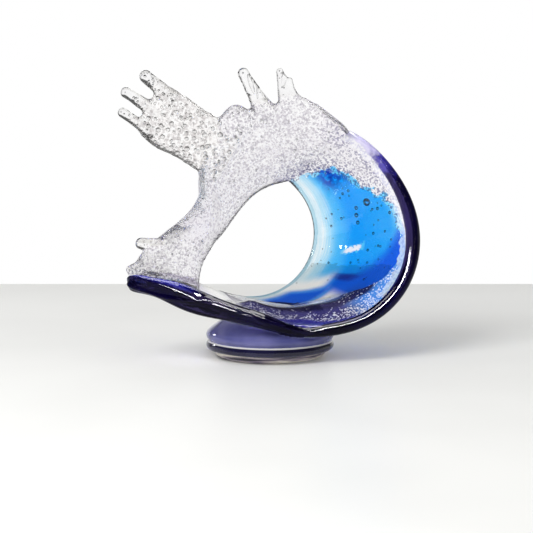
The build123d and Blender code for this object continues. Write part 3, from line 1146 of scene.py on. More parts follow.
@dataclass(frozen=True)
class CurlFinish(Finish):
    """Blue glass of the curl: pale along both rims, azure between, violet below.

    The spans say where a colour comes in, from 0 to 1, by the shares across and along the ribbon.
    """

    across: tuple[tuple[float, Colour], ...] = (
        (0.0, (0.95, 0.97, 1.0)),
        (0.12, (0.5, 0.8, 0.99)),
        (0.22, (0.14, 0.66, 1.0)),
        (0.6, (0.06, 0.62, 1.0)),
        (0.76, (0.3, 0.74, 1.0)),
        (0.86, (0.66, 0.88, 0.99)),
        (0.94, (0.86, 0.95, 0.99)),
        (1.0, (0.78, 0.9, 0.95)),
    )
    drift_scale: float = 30.0
    drift_swing: float = 0.12
    # Painted highlight: pale streaks along the back rim, drawn from noise.
    rim_highlight_counts: Span = (26.0, 4.0)
    rim_highlight_span: Span = (0.5, 0.66)
    rim_highlight_across: Span = (0.76, 0.9)
    rim_highlight_share: float = 0.8
    inner: tuple[Span, Span] = ((0.08, 0.2), (0.8, 0.6))
    royal: Colour = (0.03, 0.36, 0.9)
    royal_slant: float = 0.205
    royal_span: Span = (0.81, 0.73)
    navy: Colour = (0.1, 0.14, 0.55)
    navy_slant: float = 0.102
    navy_drift: float = 0.15
    navy_band: tuple[Span, Span] = ((0.714, 0.702), (0.676, 0.69))
    navy_across: Span = (0.74, 0.64)
    navy_share: float = 0.85
    pool_slant: float = 0.375
    pool_drift: float = 0.5
    # Painted reflection: a white swoosh between the blue pool and the far wall.
    painted_glint_reach: tuple[Span, Span] = ((0.81, 0.84), (0.92, 0.87))
    painted_glint_across: Span = (0.64, 0.74)
    pool: Colour = (0.08, 0.38, 0.92)
    pool_start: Span = (0.34, 0.4)
    pool_end: Span = (0.84, 0.81)
    pool_across: Span = (0.95, 0.86)
    # Painted reflection: a white swoosh on the lower wall.
    swoosh_along: tuple[Span, Span] = ((0.42, 0.48), (0.6, 0.55))
    swoosh_across: Span = (0.64, 0.58)
    # Painted highlight: white line just behind the bed's crown.
    crown_highlight_crease: Span = (0.09, 0.06)
    crown_highlight_end: Span = (0.57, 0.5)
    # Painted reflection: near-white on the bed's left end, standing in for the back light that it reflects
    # at a glancing angle.
    shore: Colour = (0.98, 0.98, 0.97)
    bed_reflection_span: Span = (0.35, 0.28)
    shade: Colour = (0.83, 0.81, 0.88)
    shade_span: Span = (0.2, 0.14)
    patch: Colour = (0.07, 0.2, 0.68)
    patch_along: Span = (0.9, 0.95)
    patch_across: tuple[Span, Span] = ((0.35, 0.5), (0.8, 0.66))
    patch_scale: float = 150.0
    patch_grain: Span = (0.4, 0.54)
    # Painted highlight: a pale ragged streak across the wall, standing in for a reflection of light.
    painted_highlight: Colour = (0.95, 0.95, 1.0)
    highlight_slant: float = 0.14
    highlight_scale: float = 260.0
    highlight_swing: float = 0.024
    highlight_band: tuple[Span, Span] = ((0.818, 0.823), (0.84, 0.835))
    highlight_start: Span = (0.5, 0.53)
    highlight_end: Span = (0.72, 0.68)
    highlight_share: float = 0.9
    violet: Colour = (0.2, 0.17, 0.5)
    seam_drift: float = 40 * MM
    seam_gap: Span = (4.5 * MM, 3 * MM)
    seam_along: Span = (0.52, 0.62)
    ripple_scale: float = 70.0
    ripple_depth: float = 0.15 * MM

    def wall(self, bench: NodeBench, drift: Socket) -> Socket:
        """Lay the tint across the ribbon, with painted highlight streaks along the back rim.

        Args:
            bench: Where to lay the nodes.
            drift: Slow uneven shift of the pattern.

        Returns:
            The tint.
        """
        across = bench.mark(Mark.ACROSS)
        counts = zip((across, bench.mark(Mark.ALONG)), self.rim_highlight_counts)
        place = bench.wire("ShaderNodeCombineXYZ", dict(enumerate(bench.times(*pair) for pair in counts)))
        noise = bench.wire("ShaderNodeTexNoise", {"Vector": place, "Scale": 1.0})
        # Painted highlight streaks along the back rim.
        rim = bench.eased(across, self.rim_highlight_across, 0.0, self.rim_highlight_share)
        pale = bench.times(bench.eased(noise, self.rim_highlight_span), rim)
        return bench.blend(pale, bench.ramp(bench.plus(across, drift), self.across), WHITE)

    def deepened(self, bench: NodeBench, tint: Socket, drift: Socket) -> Socket:
        """Deepen the lower wall to royal blue, with a thin navy band above it.

        Args:
            bench: Where to lay the nodes.
            tint: Tint without them.
            drift: Slow uneven shift of the pattern.

        Returns:
            The tint with them.
        """
        across = bench.mark(Mark.ACROSS)
        along = bench.mark(Mark.ALONG)
        inner = bench.window(across, *self.inner)
        level = bench.plus(bench.times(across, self.royal_slant), bench.plus(along, drift))
        tint = bench.tinted(bench.times(bench.eased(level, self.royal_span), inner), tint, self.royal)
        level = bench.plus(bench.times(across, self.navy_slant), along, bench.times(drift, self.navy_drift))
        fade = bench.eased(across, self.navy_across, 0.0, self.navy_share)
        return bench.tinted(bench.times(bench.window(level, *self.navy_band), fade, inner), tint, self.navy)

    def pooled(self, bench: NodeBench, tint: Socket, drift: Socket) -> Socket:
        """Lay the blue pool behind the bed's crown, with painted reflections round it: white swooshes, and a
        painted highlight line behind the crown.

        Args:
            bench: Where to lay the nodes.
            tint: Tint without them.
            drift: Slow uneven shift of the pattern.

        Returns:
            The tint with them.
        """
        across = bench.plus(bench.mark(Mark.ACROSS), bench.times(drift, self.pool_drift))
        along = bench.mark(Mark.ALONG)
        reach = bench.plus(along, bench.times(across, self.pool_slant))
        # Painted reflection: white swoosh between the pool and the far wall.
        painted_glint = bench.times(bench.window(reach, *self.painted_glint_reach), bench.eased(across, self.painted_glint_across))
        tint = bench.blend(painted_glint, tint, WHITE)
        pool = bench.times(bench.eased(along, self.pool_start), bench.eased(reach, self.pool_end))
        tint = bench.tinted(bench.times(pool, bench.eased(across, self.pool_across)), tint, self.pool)
        # Painted reflection: white swoosh on the lower wall.
        painted_swoosh = bench.times(bench.window(along, *self.swoosh_along), bench.eased(across, self.swoosh_across))
        # Painted highlight: white line just behind the bed's crown.
        crease = bench.eased(bench.mark(Mark.CREASE), self.crown_highlight_crease)
        line = bench.times(crease, bench.eased(along, self.crown_highlight_end))
        return bench.blend(bench.value("MAXIMUM", painted_swoosh, line), tint, WHITE)

    def spotted(self, bench: NodeBench, tint: Socket) -> Socket:
        """Lay the dark blue patch under the crest, and a painted highlight across the wall that stands in
        for a reflection.

        Args:
            bench: Where to lay the nodes.
            tint: Tint without them.

        Returns:
            The tint with them.
        """
        across = bench.mark(Mark.ACROSS)
        along = bench.mark(Mark.ALONG)
        spot = bench.times(bench.eased(along, self.patch_along), bench.window(across, *self.patch_across))
        cloudy = bench.eased(bench.grain(self.patch_scale, 3.0), self.patch_grain)
        tint = bench.tinted(bench.times(spot, cloudy), tint, self.patch)
        # Painted highlight across the wall, in a ragged band.
        ragged = bench.times(bench.grain(self.highlight_scale), self.highlight_swing)
        level = bench.plus(along, bench.times(across, self.highlight_slant), ragged)
        painted_highlight = bench.times(bench.window(level, *self.highlight_band), bench.eased(across, self.highlight_start))
        painted_highlight = bench.times(painted_highlight, bench.eased(across, self.highlight_end, 0.0, self.highlight_share))
        return bench.blend(painted_highlight, tint, self.painted_highlight)

    def colour(self, bench: NodeBench) -> Feed:
        """Lay the tint by the place across and along the ribbon.

        Args:
            bench: Where to lay the nodes.

        Returns:
            The tint.
        """
        along = bench.mark(Mark.ALONG)
        drift = bench.sway(self.drift_scale, self.drift_swing)
        tint = self.deepened(bench, self.wall(bench, drift), drift)
        tint = self.pooled(bench, tint, drift)
        # Painted reflection of the back light on the bed's left end.
        tint = bench.tinted(bench.eased(along, self.bed_reflection_span), tint, self.shore)
        tint = bench.tinted(bench.eased(along, self.shade_span), tint, self.shade)
        tint = bench.tinted(bench.mark(Mark.BED), self.spotted(bench, tint), self.violet)
        ragged = bench.plus(bench.mark(Mark.LIP_GAP), bench.times(drift, self.seam_drift))
        seam = bench.times(bench.eased(ragged, self.seam_gap), bench.eased(along, self.seam_along))
        return bench.blend(seam, tint, WHITE)

    def normal(self, bench: NodeBench) -> Optional[Socket]:
        """Return the normal of a slightly rippled skin."""
        return bench.bump(bench.times(bench.grain(self.ripple_scale), self.ripple_depth))


@dataclass(frozen=True)
class BedFinish(Finish):
    """Violet glass of the bed: nearly black on top, full of sparks below, indigo along the lip."""

    dark: Colour = (0.11, 0.09, 0.25)
    violet: Colour = (0.27, 0.25, 0.5)
    bright: Colour = (0.3, 0.55, 0.85)
    indigo: Colour = (0.2, 0.17, 0.62)
    spark: Colour = (0.86, 0.86, 0.94)
    cell: float = 1.15 * MM
    pit: float = 0.06 * MM
    drift_scale: float = 60.0
    drift_swing: float = 0.1
    slant: float = 0.4
    lower_span: Span = (0.48, 0.42)
    rising_span: Span = (0.53, 0.61)
    crowd_below: Span = (0.48, 0.32)
    crowd_below_share: float = 0.27
    crowd_rising: Span = (0.5, 0.62)
    crowd_rising_share: float = 0.1
    spark_span: Span = (0.9, 0.98)
    edge_middle: float = 0.42
    edge_span: Span = (0.19, 0.15)

    def colour(self, bench: NodeBench) -> Feed:
        """Lay the tint by the place across and along the bed.

        Args:
            bench: Where to lay the nodes.

        Returns:
            The tint.
        """
        along = bench.mark(Mark.ALONG)
        across = bench.plus(bench.mark(Mark.ACROSS), bench.sway(self.drift_scale, self.drift_swing))
        level = bench.plus(across, bench.times(along, self.slant))
        lower = bench.eased(level, self.lower_span)
        tint = bench.tinted(lower, linear(*self.dark), self.violet)
        tint = bench.tinted(bench.times(lower, bench.eased(along, self.rising_span)), tint, self.bright)
        below = bench.eased(level, self.crowd_below, 0.0, self.crowd_below_share)
        crowd = bench.plus(below, bench.eased(along, self.crowd_rising, 0.0, self.crowd_rising_share))
        spark = bench.eased(bench.plus(bench.cells(self.cell, "Color"), crowd), self.spark_span)
        tint = bench.blend(spark, tint, self.spark)
        turn = bench.value("ABSOLUTE", bench.value("SUBTRACT", along, self.edge_middle))
        return bench.tinted(bench.eased(bench.plus(across, turn), self.edge_span), tint, self.indigo)

    def normal(self, bench: NodeBench) -> Optional[Socket]:
        """Return the normal of a finely pitted skin."""
        return bench.bump(bench.cells(self.cell), self.pit)


@dataclass(frozen=True)
class LipFinish(Finish):
    """Near-black navy glass, with a cobalt facet on top of the tip and a pale upper end."""

    tint: Colour = (0.055, 0.03, 0.22)
    deep: Colour = (0.03, 0.018, 0.12)
    cloud_scale: float = 25.0
    facet: Colour = (0.17, 0.17, 0.68)
    facet_turn: Span = (52.0, 70.0)
    facet_rim: Span = (0.2, 0.1)
    sway_scale: float = 140.0
    sway_swing: float = 0.1
    indigo: Colour = (0.2, 0.17, 0.56)
    indigo_rim: Span = (0.86, 0.91)
    clear_end: Colour = (0.82, 0.8, 0.93)
    clear_rim: Span = (0.91, 0.95)
    dent_scale: float = 55.0
    dent_depth: float = 0.5 * MM

    def colour(self, bench: NodeBench) -> Feed:
        """Lay the tint by the place on the lip.

        Args:
            bench: Where to lay the nodes.

        Returns:
            The tint.
        """
        base = bench.ramp(bench.grain(self.cloud_scale, 3.0), ((0.3, self.tint), (0.65, self.deep)))
        rim = bench.mark(Mark.RIM)
        above = bench.eased(bench.mark(Mark.TURN), self.facet_turn)
        tint = bench.tinted(bench.times(above, bench.eased(rim, self.facet_rim)), base, self.facet)
        end = bench.plus(rim, bench.sway(self.sway_scale, self.sway_swing))
        tint = bench.tinted(bench.eased(end, self.indigo_rim), tint, self.indigo)
        return bench.tinted(bench.eased(end, self.clear_rim), tint, self.clear_end)

    def normal(self, bench: NodeBench) -> Optional[Socket]:
        """Return the normal of a skin with slow dents."""
        return bench.bump(bench.grain(self.dent_scale), self.dent_depth)


@dataclass(frozen=True)
class FootFinish(Finish):
    """Glass of the foot, with a slow change of tint."""

    tint: Colour = (0.5, 0.5, 0.6)
    deep: Colour = (0.4, 0.4, 0.5)
    cloud_scale: float = 22.0
    turning_scale: float = 60.0
    turning_spread: Spot = (1.0, 1.0, 6.0)
    turning_depth: float = 0.2 * MM

    def colour(self, bench: NodeBench) -> Feed:
        """Return the tint with its slow change."""
        return bench.ramp(bench.grain(self.cloud_scale, 3.0), ((0.3, self.tint), (0.7, self.deep)))

    def normal(self, bench: NodeBench) -> Optional[Socket]:
        """Return the normal of faint turning marks."""
        return bench.bump(bench.grain(self.turning_scale, 1.0, self.turning_spread), self.turning_depth)


@dataclass(frozen=True)
class BeadFinish(FootFinish):
    """Glass of the bead, dark partly in its own right and partly as painted shade for the dark surroundings
    it shows, with a painted highlight line round its top.
    """

    top_highlight_span: Span = (-1.26 * MM, -0.72 * MM)

    def colour(self, bench: NodeBench) -> Feed:
        """Lay the tint, with a painted highlight round the top.

        Args:
            bench: Where to lay the nodes.

        Returns:
            The tint.
        """
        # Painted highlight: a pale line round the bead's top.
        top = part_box(Gather.BEAD.value)[1][2]
        height = bench.wire("ShaderNodeSeparateXYZ", {0: bench.place()}, "Z")
        share = bench.eased(height, tuple(top + drop for drop in self.top_highlight_span))
        return bench.blend(share, super().colour(bench), WHITE)


@dataclass(frozen=True)
class StreakFinish(Finish):
    """Glass of the pad: cream and grey streaks drawn round it, with dark bits between."""

    streaks: tuple[tuple[float, Colour], ...] = (
        (0.36, (0.06, 0.05, 0.12)),
        (0.43, (0.52, 0.48, 0.55)),
        (0.5, (0.8, 0.75, 0.74)),
        (0.58, (1.0, 0.97, 0.9)),
    )
    scale: float = 55.0
    spread: Spot = (0.3, 0.3, 5.0)

    def colour(self, bench: NodeBench) -> Feed:
        """Return the tint: streaks drawn out along the turning."""
        return bench.ramp(bench.grain(self.scale, 3.0, self.spread), self.streaks)


@dataclass(frozen=True)
class TrailFinish(FootFinish):
    """Pale glass of the back trail, with painted shade where it turns away from the eye, standing in for the
    dark outline of a glass edge.
    """

    painted_edge_shade: Colour = (0.04, 0.05, 0.07)
    edge_shade_span: Span = (0.3, 0.5)

    def colour(self, bench: NodeBench) -> Feed:
        """Return the tint, with painted shade at a glancing angle."""
        # Painted shade: darker where the surface turns away from the eye.
        facing = bench.eased(bench.wire("ShaderNodeLayerWeight", {}, "Facing"), self.edge_shade_span)
        return bench.tinted(facing, super().colour(bench), self.painted_edge_shade)


SPLASH_SPECKS = Specks(
    tint=(0.995, 0.99, 0.985),
    deep=(0.975, 0.965, 0.96),
    dark=(0.78, 0.76, 0.76),
    cell=2.2 * MM,
    dimple=0.14 * MM,
)
# White specks of the seam foam and of the painted highlight line behind the bed's crown.
SEAM_AND_HIGHLIGHT_SPECKS = Specks(tint=WHITE, deep=(0.99, 0.99, 1.0), dark=(0.92, 0.92, 0.95), navy=(0.8, 0.8, 0.9))
CREST = SprayFinish("bubbled_clear_glass", ior=1.3, clear=0.93)
WALL = SprayFinish("bubbled_wall_glass", ior=1.12, clear=0.92, roughness=0.45)
SPLASH = SprayFinish("splash_clear_glass", ior=1.22, clear=0.92, specks=SPLASH_SPECKS)
PULLED = PulledFinish("pulled_clear_glass", ior=1.42, specks=SPLASH_SPECKS)
LINING = CurlFinish("azure_lining_glass")
SHELL = CurlFinish("cobalt_shell_glass")
BED = BedFinish("violet_bed_glass", clear=0.4)
# White seam foam, laid also on the painted highlight line behind the bed's crown.
SEAM = SprayFinish("seam_foam_and_highlight_glass", ior=1.15, clear=0.65, specks=SEAM_AND_HIGHLIGHT_SPECKS)
NAVY = LipFinish("navy_lip_glass", ior=1.22, clear=0.6, shine=0.25)
TRAIL = TrailFinish("pale_trail_glass", tint=(0.62, 0.82, 0.9), deep=(0.45, 0.66, 0.8))
COLLAR = FootFinish("violet_collar_glass", clear=0.4, tint=(0.5, 0.5, 0.74), deep=(0.34, 0.35, 0.6))
# Dark navy tint: partly the bead's own glass, partly painted shade for the dark surroundings it shows.
BEAD = BeadFinish("bead_glass", clear=0.5, tint=(0.14, 0.13, 0.3), deep=(0.06, 0.05, 0.16))
PAD = StreakFinish("pad_glass", clear=0.25)


@dataclass(frozen=True)
class Bubble:
    """One round pocket of air."""

    centre: np.ndarray
    radius: float
    host: int
    pull: Spot = (0.0, 0.0, 0.0)
    fine_from: float = 1.2 * MM

    def shape(self) -> tuple[np.ndarray, np.ndarray, list[list[int]]]:
        """Make the pocket's wall, drawn out along its pull.

        Returns:
            Its points, the normals that look inwards, and its faces.
        """
        points, sides = ball(2 if self.radius < self.fine_from else 3)
        pull = np.array(self.pull)
        length = np.linalg.norm(pull)
        axis = pull / max(length, 1e-9)
        share = points @ axis
        ways = unit(points - np.outer(share * length / (self.radius + length), axis))
        return self.centre + points * self.radius + np.outer(share, pull), -ways, sides

    def fits(self, others: Iterable["Bubble"], tree: BVHTree, cover: float) -> bool:
        """Tell whether the bubble lies inside the glass and clear of the others.

        Args:
            others: Bubbles placed before.
            tree: The fused skin.
            cover: Least glass over the bubble.

        Returns:
            True if it fits.
        """
        spot, way, _, gap = tree.find_nearest(self.centre)
        inside = (spot - Vector(self.centre)).dot(way) > 0.0
        if not inside or gap < self.radius + cover:
            return False
        return all(np.linalg.norm(o.centre - self.centre) > o.radius + self.radius + cover for o in others)


def ball(rings: int) -> tuple[np.ndarray, list[list[int]]]:
    """Make a ball of radius 1 whose faces look inwards.

    Args:
        rings: How finely it is divided.

    Returns:
        Its points and faces.
    """
    shape = bmesh.new()
    bmesh.ops.create_icosphere(shape, subdivisions=rings, radius=1.0)
    points = np.array([vertex.co[:] for vertex in shape.verts])
    faces = [[vertex.index for vertex in reversed(face.verts)] for face in shape.faces]
    shape.free()
    return points, faces


@dataclass(frozen=True)
class BubbleCloud:
    """Air bubbles scattered below a gather's skin."""

    count: int
    small: float
    large: float
    seed: int
    cover: float = 0.5 * MM
    sink: float = 6.0 * MM
    tries: int = 3

    def scatter(self, glass: FusedGlass, gather: Gather) -> list[Bubble]:
        """Find places for the bubbles.

        Args:
            glass: The finished skin.
            gather: The gather that holds them.

        Returns:
            The bubbles that fit.
        """
        dice = np.random.default_rng(self.seed)
        found: list[Bubble] = []
        for pick in dice.choice(glass.own(gather), self.count * self.tries):
            host = int(glass.faces[pick, 0])
            radius = self.small + (self.large - self.small) * dice.random() ** 2
            depth = radius + self.cover + self.sink * dice.random()
            bubble = Bubble(glass.points[host] - glass.ways[host] * depth, radius, host)
            if bubble.fits(found, glass.tree, self.cover):
                found.append(bubble)
            if len(found) == self.count:
                break
        return found


@dataclass(frozen=True)
class BubbleSet:
    """Bubbles at set places below the skin: the place on the skin, then the radius, in millimetres."""

    places: tuple[tuple[float, float, float, float], ...]
    sink: float = 2.0 * MM
    pull: Spot = (0.0, 0.0, 0.0)
    cover: float = 0.3 * MM

    def scatter(self, glass: FusedGlass, gather: Gather) -> list[Bubble]:
        """Place the bubbles.

        Args:
            glass: The finished skin.
            gather: The gather that holds them; the places alone say where they go.

        Returns:
            The bubbles that fit.
        """
        found: list[Bubble] = []
        for *place, size in self.places:
            host = int(((glass.points - np.array(place) * MM) ** 2).sum(axis=1).argmin())
            radius = size * MM
            centre = glass.points[host] - glass.ways[host] * (radius + self.sink)
            bubble = Bubble(centre, radius, host, self.pull)
            if bubble.fits(found, glass.tree, self.cover):
                found.append(bubble)
        return found


@dataclass
class GatherPiece:
    """One gather cut out of the fused skin, with its bubbles and its finish."""

    gather: Gather
    slot: str
    finish: Finish
    bubbles: tuple[Union[BubbleCloud, BubbleSet], ...] = ()
    patches: tuple[tuple[Mark, Finish], ...] = ()

    def build(self, glass: FusedGlass) -> bpy.types.Object:
        """Cut the piece and dress it.

        Args:
            glass: The finished skin.

        Returns:
            The piece.
        """
        wanted = glass.faces[glass.own(self.gather)]
        used, corners = np.unique(wanted, return_inverse=True)
        points, ways, hosts = [glass.points[used]], [glass.ways[used]], [used]
        faces = corners.reshape(-1, 4).tolist()
        total = len(used)
        for bubble in [bubble for group in self.bubbles for bubble in group.scatter(glass, self.gather)]:
            shape, look, sides = bubble.shape()
            points.append(shape)
            ways.append(look)
            hosts.append(np.full(len(shape), bubble.host))
            faces.extend([[total + corner for corner in side] for side in sides])
            total += len(shape)
        mesh = bpy.data.meshes.new(self.gather.value + "_glass")
        mesh.from_pydata(np.concatenate(points).tolist(), [], faces)
        mesh.polygons.foreach_set("use_smooth", [True] * len(mesh.polygons))
        self.write_marks(mesh, glass, np.concatenate(hosts), len(used))
        mesh.normals_split_custom_set_from_vertices(np.concatenate(ways).tolist())
        self.dress(mesh, glass, wanted)
        piece = add_object(self.gather.value + "_glass", mesh)
        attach(piece, BODY)
        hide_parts(self.gather.value)
        return piece

    def write_marks(self, mesh: bpy.types.Mesh, glass: FusedGlass, host: np.ndarray, skin: int) -> None:
        """Write the measures that the finishes read onto the piece.

        Args:
            mesh: The piece's mesh.
            glass: The finished skin.
            host: For each point of the piece, the point of the skin that it takes its measures from.
            skin: How many of the points lie on the skin; the rest are walls of bubbles.
        """
        air = np.arange(len(host)) >= skin
        calm = {Mark.EDGE: 1.0, Mark.CLEAR: 1.0, Mark.FROTH: 0.0}
        shown = {mark: values[host] for mark, values in glass.marks.items()}
        for mark, level in calm.items():
            shown[mark] = np.where(air, level, shown[mark])
        for mark, values in {**shown, Mark.AIR: air}.items():
            layer = mesh.attributes.new(mark.value, "FLOAT", "POINT")
            layer.data.foreach_set("value", values.astype(np.float32))

    def dress(self, mesh: bpy.types.Mesh, glass: FusedGlass, wanted: np.ndarray) -> None:
        """Give the piece its finish, and its patches another.

        Args:
            mesh: The piece's mesh.
            glass: The finished skin.
            wanted: Faces of the skin that the piece has.
        """
        mesh.materials.append(self.finish.material())
        which = np.zeros(len(mesh.polygons), dtype=np.int32)
        for index, (mark, finish) in enumerate(self.patches, 1):
            mesh.materials.append(finish.material())
            which[: len(wanted)][glass.marks[mark][wanted].mean(axis=1) > 0.5] = index
        mesh.polygons.foreach_set("material_index", which)


FROTHY_WALL = ((Mark.SIDE, WALL),)
BED_AND_TOP = ((Mark.BED, BED), (Mark.FROTH, CREST), (Mark.SEAM, SEAM))
FROTHY_ROOT = ((Mark.ROOT, CREST),)
LINING_BUBBLES = BubbleSet(
    (
        (90.9, 33.2, 143.1, 4.0), (82.5, 42.9, 130.7, 2.3), (81.8, 42.0, 137.5, 2.0),
        (83.8, 42.8, 123.4, 2.0), (69.2, 45.9, 150.5, 1.5), (74.8, 40.9, 153.7, 1.4),
        (66.5, 49.4, 146.3, 1.2), (59.2, 60.3, 129.8, 1.2), (54.4, 64.7, 125.5, 1.0),
        (102.0, 24.8, 138.4, 1.6), (112.8, 15.0, 135.4, 1.6), (97.5, 29.1, 137.1, 1.3),
        (104.8, 19.9, 103.2, 1.2), (114.6, 11.5, 110.7, 1.1), (77.1, 39.7, 85.5, 1.3),
        (92.7, 24.6, 87.2, 1.2),
    )
)
LINING_AIR = (LINING_BUBBLES, BubbleCloud(80, 0.6 * MM, 1.6 * MM, 3))
COLUMN_BUBBLES = BubbleSet(((-66, -100, 84, 1.6), (-67, -100, 92, 1.1)), 0.8 * MM)
COLUMN_AIR = (COLUMN_BUBBLES, BubbleCloud(70, 0.6 * MM, 1.2 * MM, 7))
FINGER_STREAK = BubbleSet(((-12.4, -100, 259, 1.9),), 2.5 * MM, (2.8 * MM, 0.0, -7.5 * MM))
TOP_LEFT_AIR = (FINGER_STREAK, BubbleCloud(8, 0.6 * MM, 1.2 * MM, 31))
STUB_STREAK = BubbleSet(((15.5, -100, 263, 0.9),), 2.5 * MM, (0.5 * MM, 0.0, -5.0 * MM))
TOP_RIGHT_AIR = (STUB_STREAK, BubbleCloud(6, 0.6 * MM, 1.0 * MM, 37))
SPOUT_AIR = (BubbleSet(((-117, -100, 109, 1.9),), 1.0 * MM),)
CREST_AIR = (BubbleCloud(90, 0.6 * MM, 1.2 * MM, 5),)
KNUCKLE_AIR = (BubbleCloud(20, 0.7 * MM, 1.6 * MM, 13),)
FOAM_AIR = (BubbleCloud(40, 0.7 * MM, 1.8 * MM, 17),)
PIECES = (
    GatherPiece(Gather.PAD, "foot_clear", PAD),
    GatherPiece(Gather.BEAD, "foot_clear", BEAD),
    GatherPiece(Gather.COLLAR, "collar_violet", COLLAR),
    GatherPiece(Gather.SHELL, "cobalt", SHELL, (), BED_AND_TOP),
    GatherPiece(Gather.LINING, "aqua", LINING, LINING_AIR, BED_AND_TOP),
    GatherPiece(Gather.LIP, "navy_lip", NAVY),
    GatherPiece(Gather.FAR_LIP, "pale_trail", TRAIL),
    GatherPiece(Gather.CREST, "bubbled_clear", CREST, CREST_AIR, FROTHY_WALL),
    GatherPiece(Gather.COLUMN, "bubbled_clear", CREST, COLUMN_AIR, FROTHY_WALL),
    GatherPiece(Gather.PALM, "bubbled_clear", SPLASH, (BubbleCloud(170, 0.9 * MM, 2.6 * MM, 11),)),
    GatherPiece(Gather.KNUCKLE, "bubbled_clear", CREST, KNUCKLE_AIR, FROTHY_WALL),
    GatherPiece(Gather.FOAM, "bubbled_clear", CREST, FOAM_AIR, FROTHY_WALL),
    GatherPiece(Gather.PALM_UPPER, "pulled_clear", PULLED, (BubbleCloud(40, 0.6 * MM, 1.3 * MM, 19),)),
    GatherPiece(Gather.PALM_MIDDLE, "pulled_clear", PULLED, (BubbleCloud(10, 0.6 * MM, 1.4 * MM, 23),)),
    GatherPiece(Gather.PALM_LOWER, "pulled_clear", PULLED, (BubbleCloud(8, 0.6 * MM, 1.2 * MM, 29),)),
    GatherPiece(Gather.TOP_LEFT, "pulled_clear", PULLED, TOP_LEFT_AIR, FROTHY_ROOT),
    GatherPiece(Gather.TOP_RIGHT, "pulled_clear", PULLED, TOP_RIGHT_AIR, FROTHY_ROOT),
    GatherPiece(Gather.TOP_STUB, "pulled_clear", PULLED, (), FROTHY_ROOT),
    GatherPiece(Gather.SPOUT, "pulled_clear", PULLED, SPOUT_AIR),
)


@dataclass(frozen=True)
class Lamp:
    """A soft panel aimed at the wave, which lights some gathers, or all if none is named.

    A mirrored panel shows only as a highlight. Another lights only what is matte.
    """

    name: str
    place: Spot
    size: Span
    watts: float
    lit: tuple[Gather, ...] = ()
    mirrored: bool = True
    roll: float = 0.0

    def hang(self, aim: Spot, made: dict[Gather, bpy.types.Object]) -> None:
        """Hang the panel.

        Args:
            aim: Where it looks.
            made: The pieces by their gathers.
        """
        light = bpy.data.lights.new(self.name, "AREA")
        light.shape = "RECTANGLE"
        light.size, light.size_y = self.size
        light.energy = self.watts
        lamp = add_object(self.name, light)
        lamp.location = self.place
        lamp.rotation_mode = "QUATERNION"
        look = (Vector(aim) - Vector(self.place)).to_track_quat("-Z", "Y")
        lamp.rotation_quaternion = look @ Quaternion((0.0, 0.0, 1.0), math.radians(self.roll))
        lamp.visible_transmission = False
        lamp.visible_diffuse = not self.mirrored
        lamp.visible_glossy = self.mirrored
        if self.lit:
            group = bpy.data.collections.new(self.name)
            for gather in self.lit:
                group.objects.link(made[gather])
            lamp.light_linking.receiver_collection = group


LAMPS = (
    Lamp("key", (-0.9, -1.1, 1.3), (0.9, 0.9), 28.0, mirrored=False),
    Lamp("left_fill", (-1.0, -0.55, 0.14), (0.6, 0.24), 8.0, SPRAY, mirrored=False),
    Lamp("right_fill", (0.9, -0.8, 0.14), (0.6, 0.24), 4.0, SPRAY, mirrored=False),
    Lamp("roof_panel", (0.0, 0.1, 1.25), (1.2, 0.9), 90.0, BLUE),
    Lamp("front_panel", (0.0, -1.13, 1.05), (1.6, 0.24), 330.0, (Gather.LIP,)),
    Lamp("side_strip", (-0.95, 0.0, 0.4), (0.24, 0.05), 1.0, (Gather.LINING,), roll=-50.0),
    Lamp("right_strip", (0.75, -0.9, 0.7), (0.03, 0.4), 1.0, (Gather.LIP,)),
    Lamp("left_window", (-0.87, 0.73, 0.48), (0.08, 0.16), 0.9, FOOT),
)


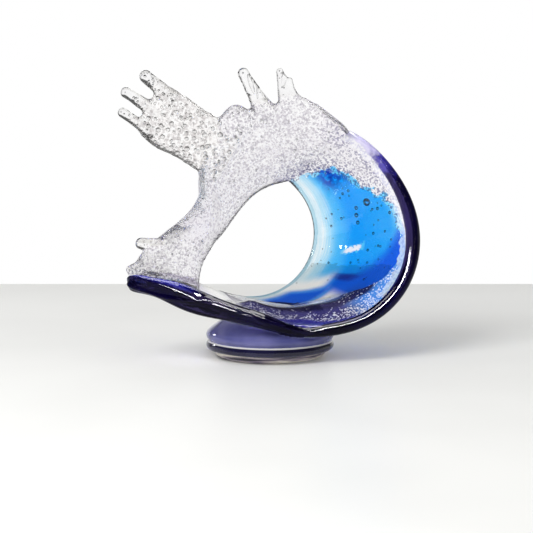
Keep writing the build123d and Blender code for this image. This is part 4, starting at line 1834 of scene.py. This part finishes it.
@dataclass(frozen=True)
class Studio:
    """Floor, surround and camera."""

    floor_half: float = 3.0
    floor_back: float = 0.55
    floor_tone: Colour = (0.92, 0.92, 0.91)
    floor_shade: float = 0.98
    floor_scale: float = 4.0
    floor_roughness: float = 0.4
    panels: float = 4.0
    panel_edge: Span = (-0.99, -0.9)
    panel_levels: Span = (0.12, 0.75)
    panel_heart: Span = (-0.6, 0.2)
    heart_level: float = 0.25
    roof_edge: Span = (0.55, 0.8)
    roof_level: float = 0.7
    dim_front: Span = (0.25, -0.3)
    dim_top: Span = (0.16, 0.28)
    dim_share: float = 0.92
    camera_reach: float = 1.5
    camera_lift: float = 6.5
    aim: Spot = (-0.00335, 0.0, 0.0856)
    lens: float = 106.6
    sensor: float = 36.0

    def floor(self) -> None:
        """Lay the plain floor."""
        half, back = self.floor_half, self.floor_back
        mesh = bpy.data.meshes.new("floor")
        corners = [(-half, -half, 0), (half, -half, 0), (half, back, 0), (-half, back, 0)]
        mesh.from_pydata(corners, [], [(0, 1, 2, 3)])
        material = bpy.data.materials.new("floor_matte")
        bench = NodeBench.fresh(material)
        tones = ((0.3, self.floor_tone), (0.7, tuple(c * self.floor_shade for c in self.floor_tone)))
        tint = bench.ramp(bench.grain(self.floor_scale), tones)
        feeds = {"Base Color": tint, "Roughness": self.floor_roughness}
        bench.end("ShaderNodeOutputMaterial", bench.wire("ShaderNodeBsdfPrincipled", feeds))
        mesh.materials.append(material)
        floor = add_object("floor", mesh)

    def world(self) -> None:
        """Set the white surround, with bright panels and dim gaps for what isn't seen directly."""
        world = bpy.data.worlds.new("studio")
        bpy.context.scene.world = world
        bench = NodeBench.fresh(world)
        way = bench.wire("ShaderNodeTexCoord", {}, "Generated")
        right, back, up = bench.wire("ShaderNodeSeparateXYZ", {0: way}).node.outputs
        wave = bench.value("COSINE", bench.times(bench.value("ARCTAN2", back, right), self.panels))
        panel = bench.eased(wave, self.panel_edge, *self.panel_levels)
        panel = bench.plus(panel, bench.eased(wave, self.panel_heart, 0.0, self.heart_level))
        roof = bench.eased(up, self.roof_edge)
        level = bench.plus(bench.times(panel, bench.rest(roof)), bench.times(roof, self.roof_level))
        path = bench.wire("ShaderNodeLightPath", {}).node.outputs
        dim = bench.value("MAXIMUM", bench.eased(back, self.dim_front), bench.eased(up, self.dim_top))
        dim = bench.times(path["Is Glossy Ray"], dim)
        level = bench.times(level, bench.rest(bench.times(dim, self.dim_share)))
        strength = bench.value("MAXIMUM", level, path["Is Camera Ray"])
        bench.end("ShaderNodeOutputWorld", bench.wire("ShaderNodeBackground", {0: WHITE, 1: strength}))

    def camera(self) -> None:
        """Place the camera at the photograph's angle."""
        data = bpy.data.cameras.new("camera")
        data.lens = self.lens
        data.sensor_width = self.sensor
        camera = add_object("camera", data)
        lift = math.radians(self.camera_lift)
        back = Vector((0.0, -math.cos(lift), math.sin(lift)))
        camera.location = Vector(self.aim) + back * self.camera_reach
        camera.rotation_mode = "QUATERNION"
        camera.rotation_quaternion = (-back).to_track_quat("-Z", "Y")
        bpy.context.scene.camera = camera


def main() -> None:
    """Build the wave in order and report each piece."""
    logging.basicConfig(level=logging.INFO, format="%(message)s")
    bpy.context.scene.view_settings.view_transform = "Standard"
    studio = Studio()
    studio.camera()
    studio.world()
    studio.floor()
    glass = FusedGlass()
    glass.melt()
    curl = WaveCurl()
    glass.measure(curl)
    LOG.info("fused %d points", len(glass.points))
    shape_skin(glass, curl)
    made: dict[Gather, bpy.types.Object] = {}
    for piece in PIECES:
        made[piece.gather] = piece.build(glass)
        LOG.info("%s: %d points", made[piece.gather].name, len(made[piece.gather].data.vertices))
    for lamp in LAMPS:
        lamp.hang(studio.aim, made)


if __name__ == "__main__":
    main()
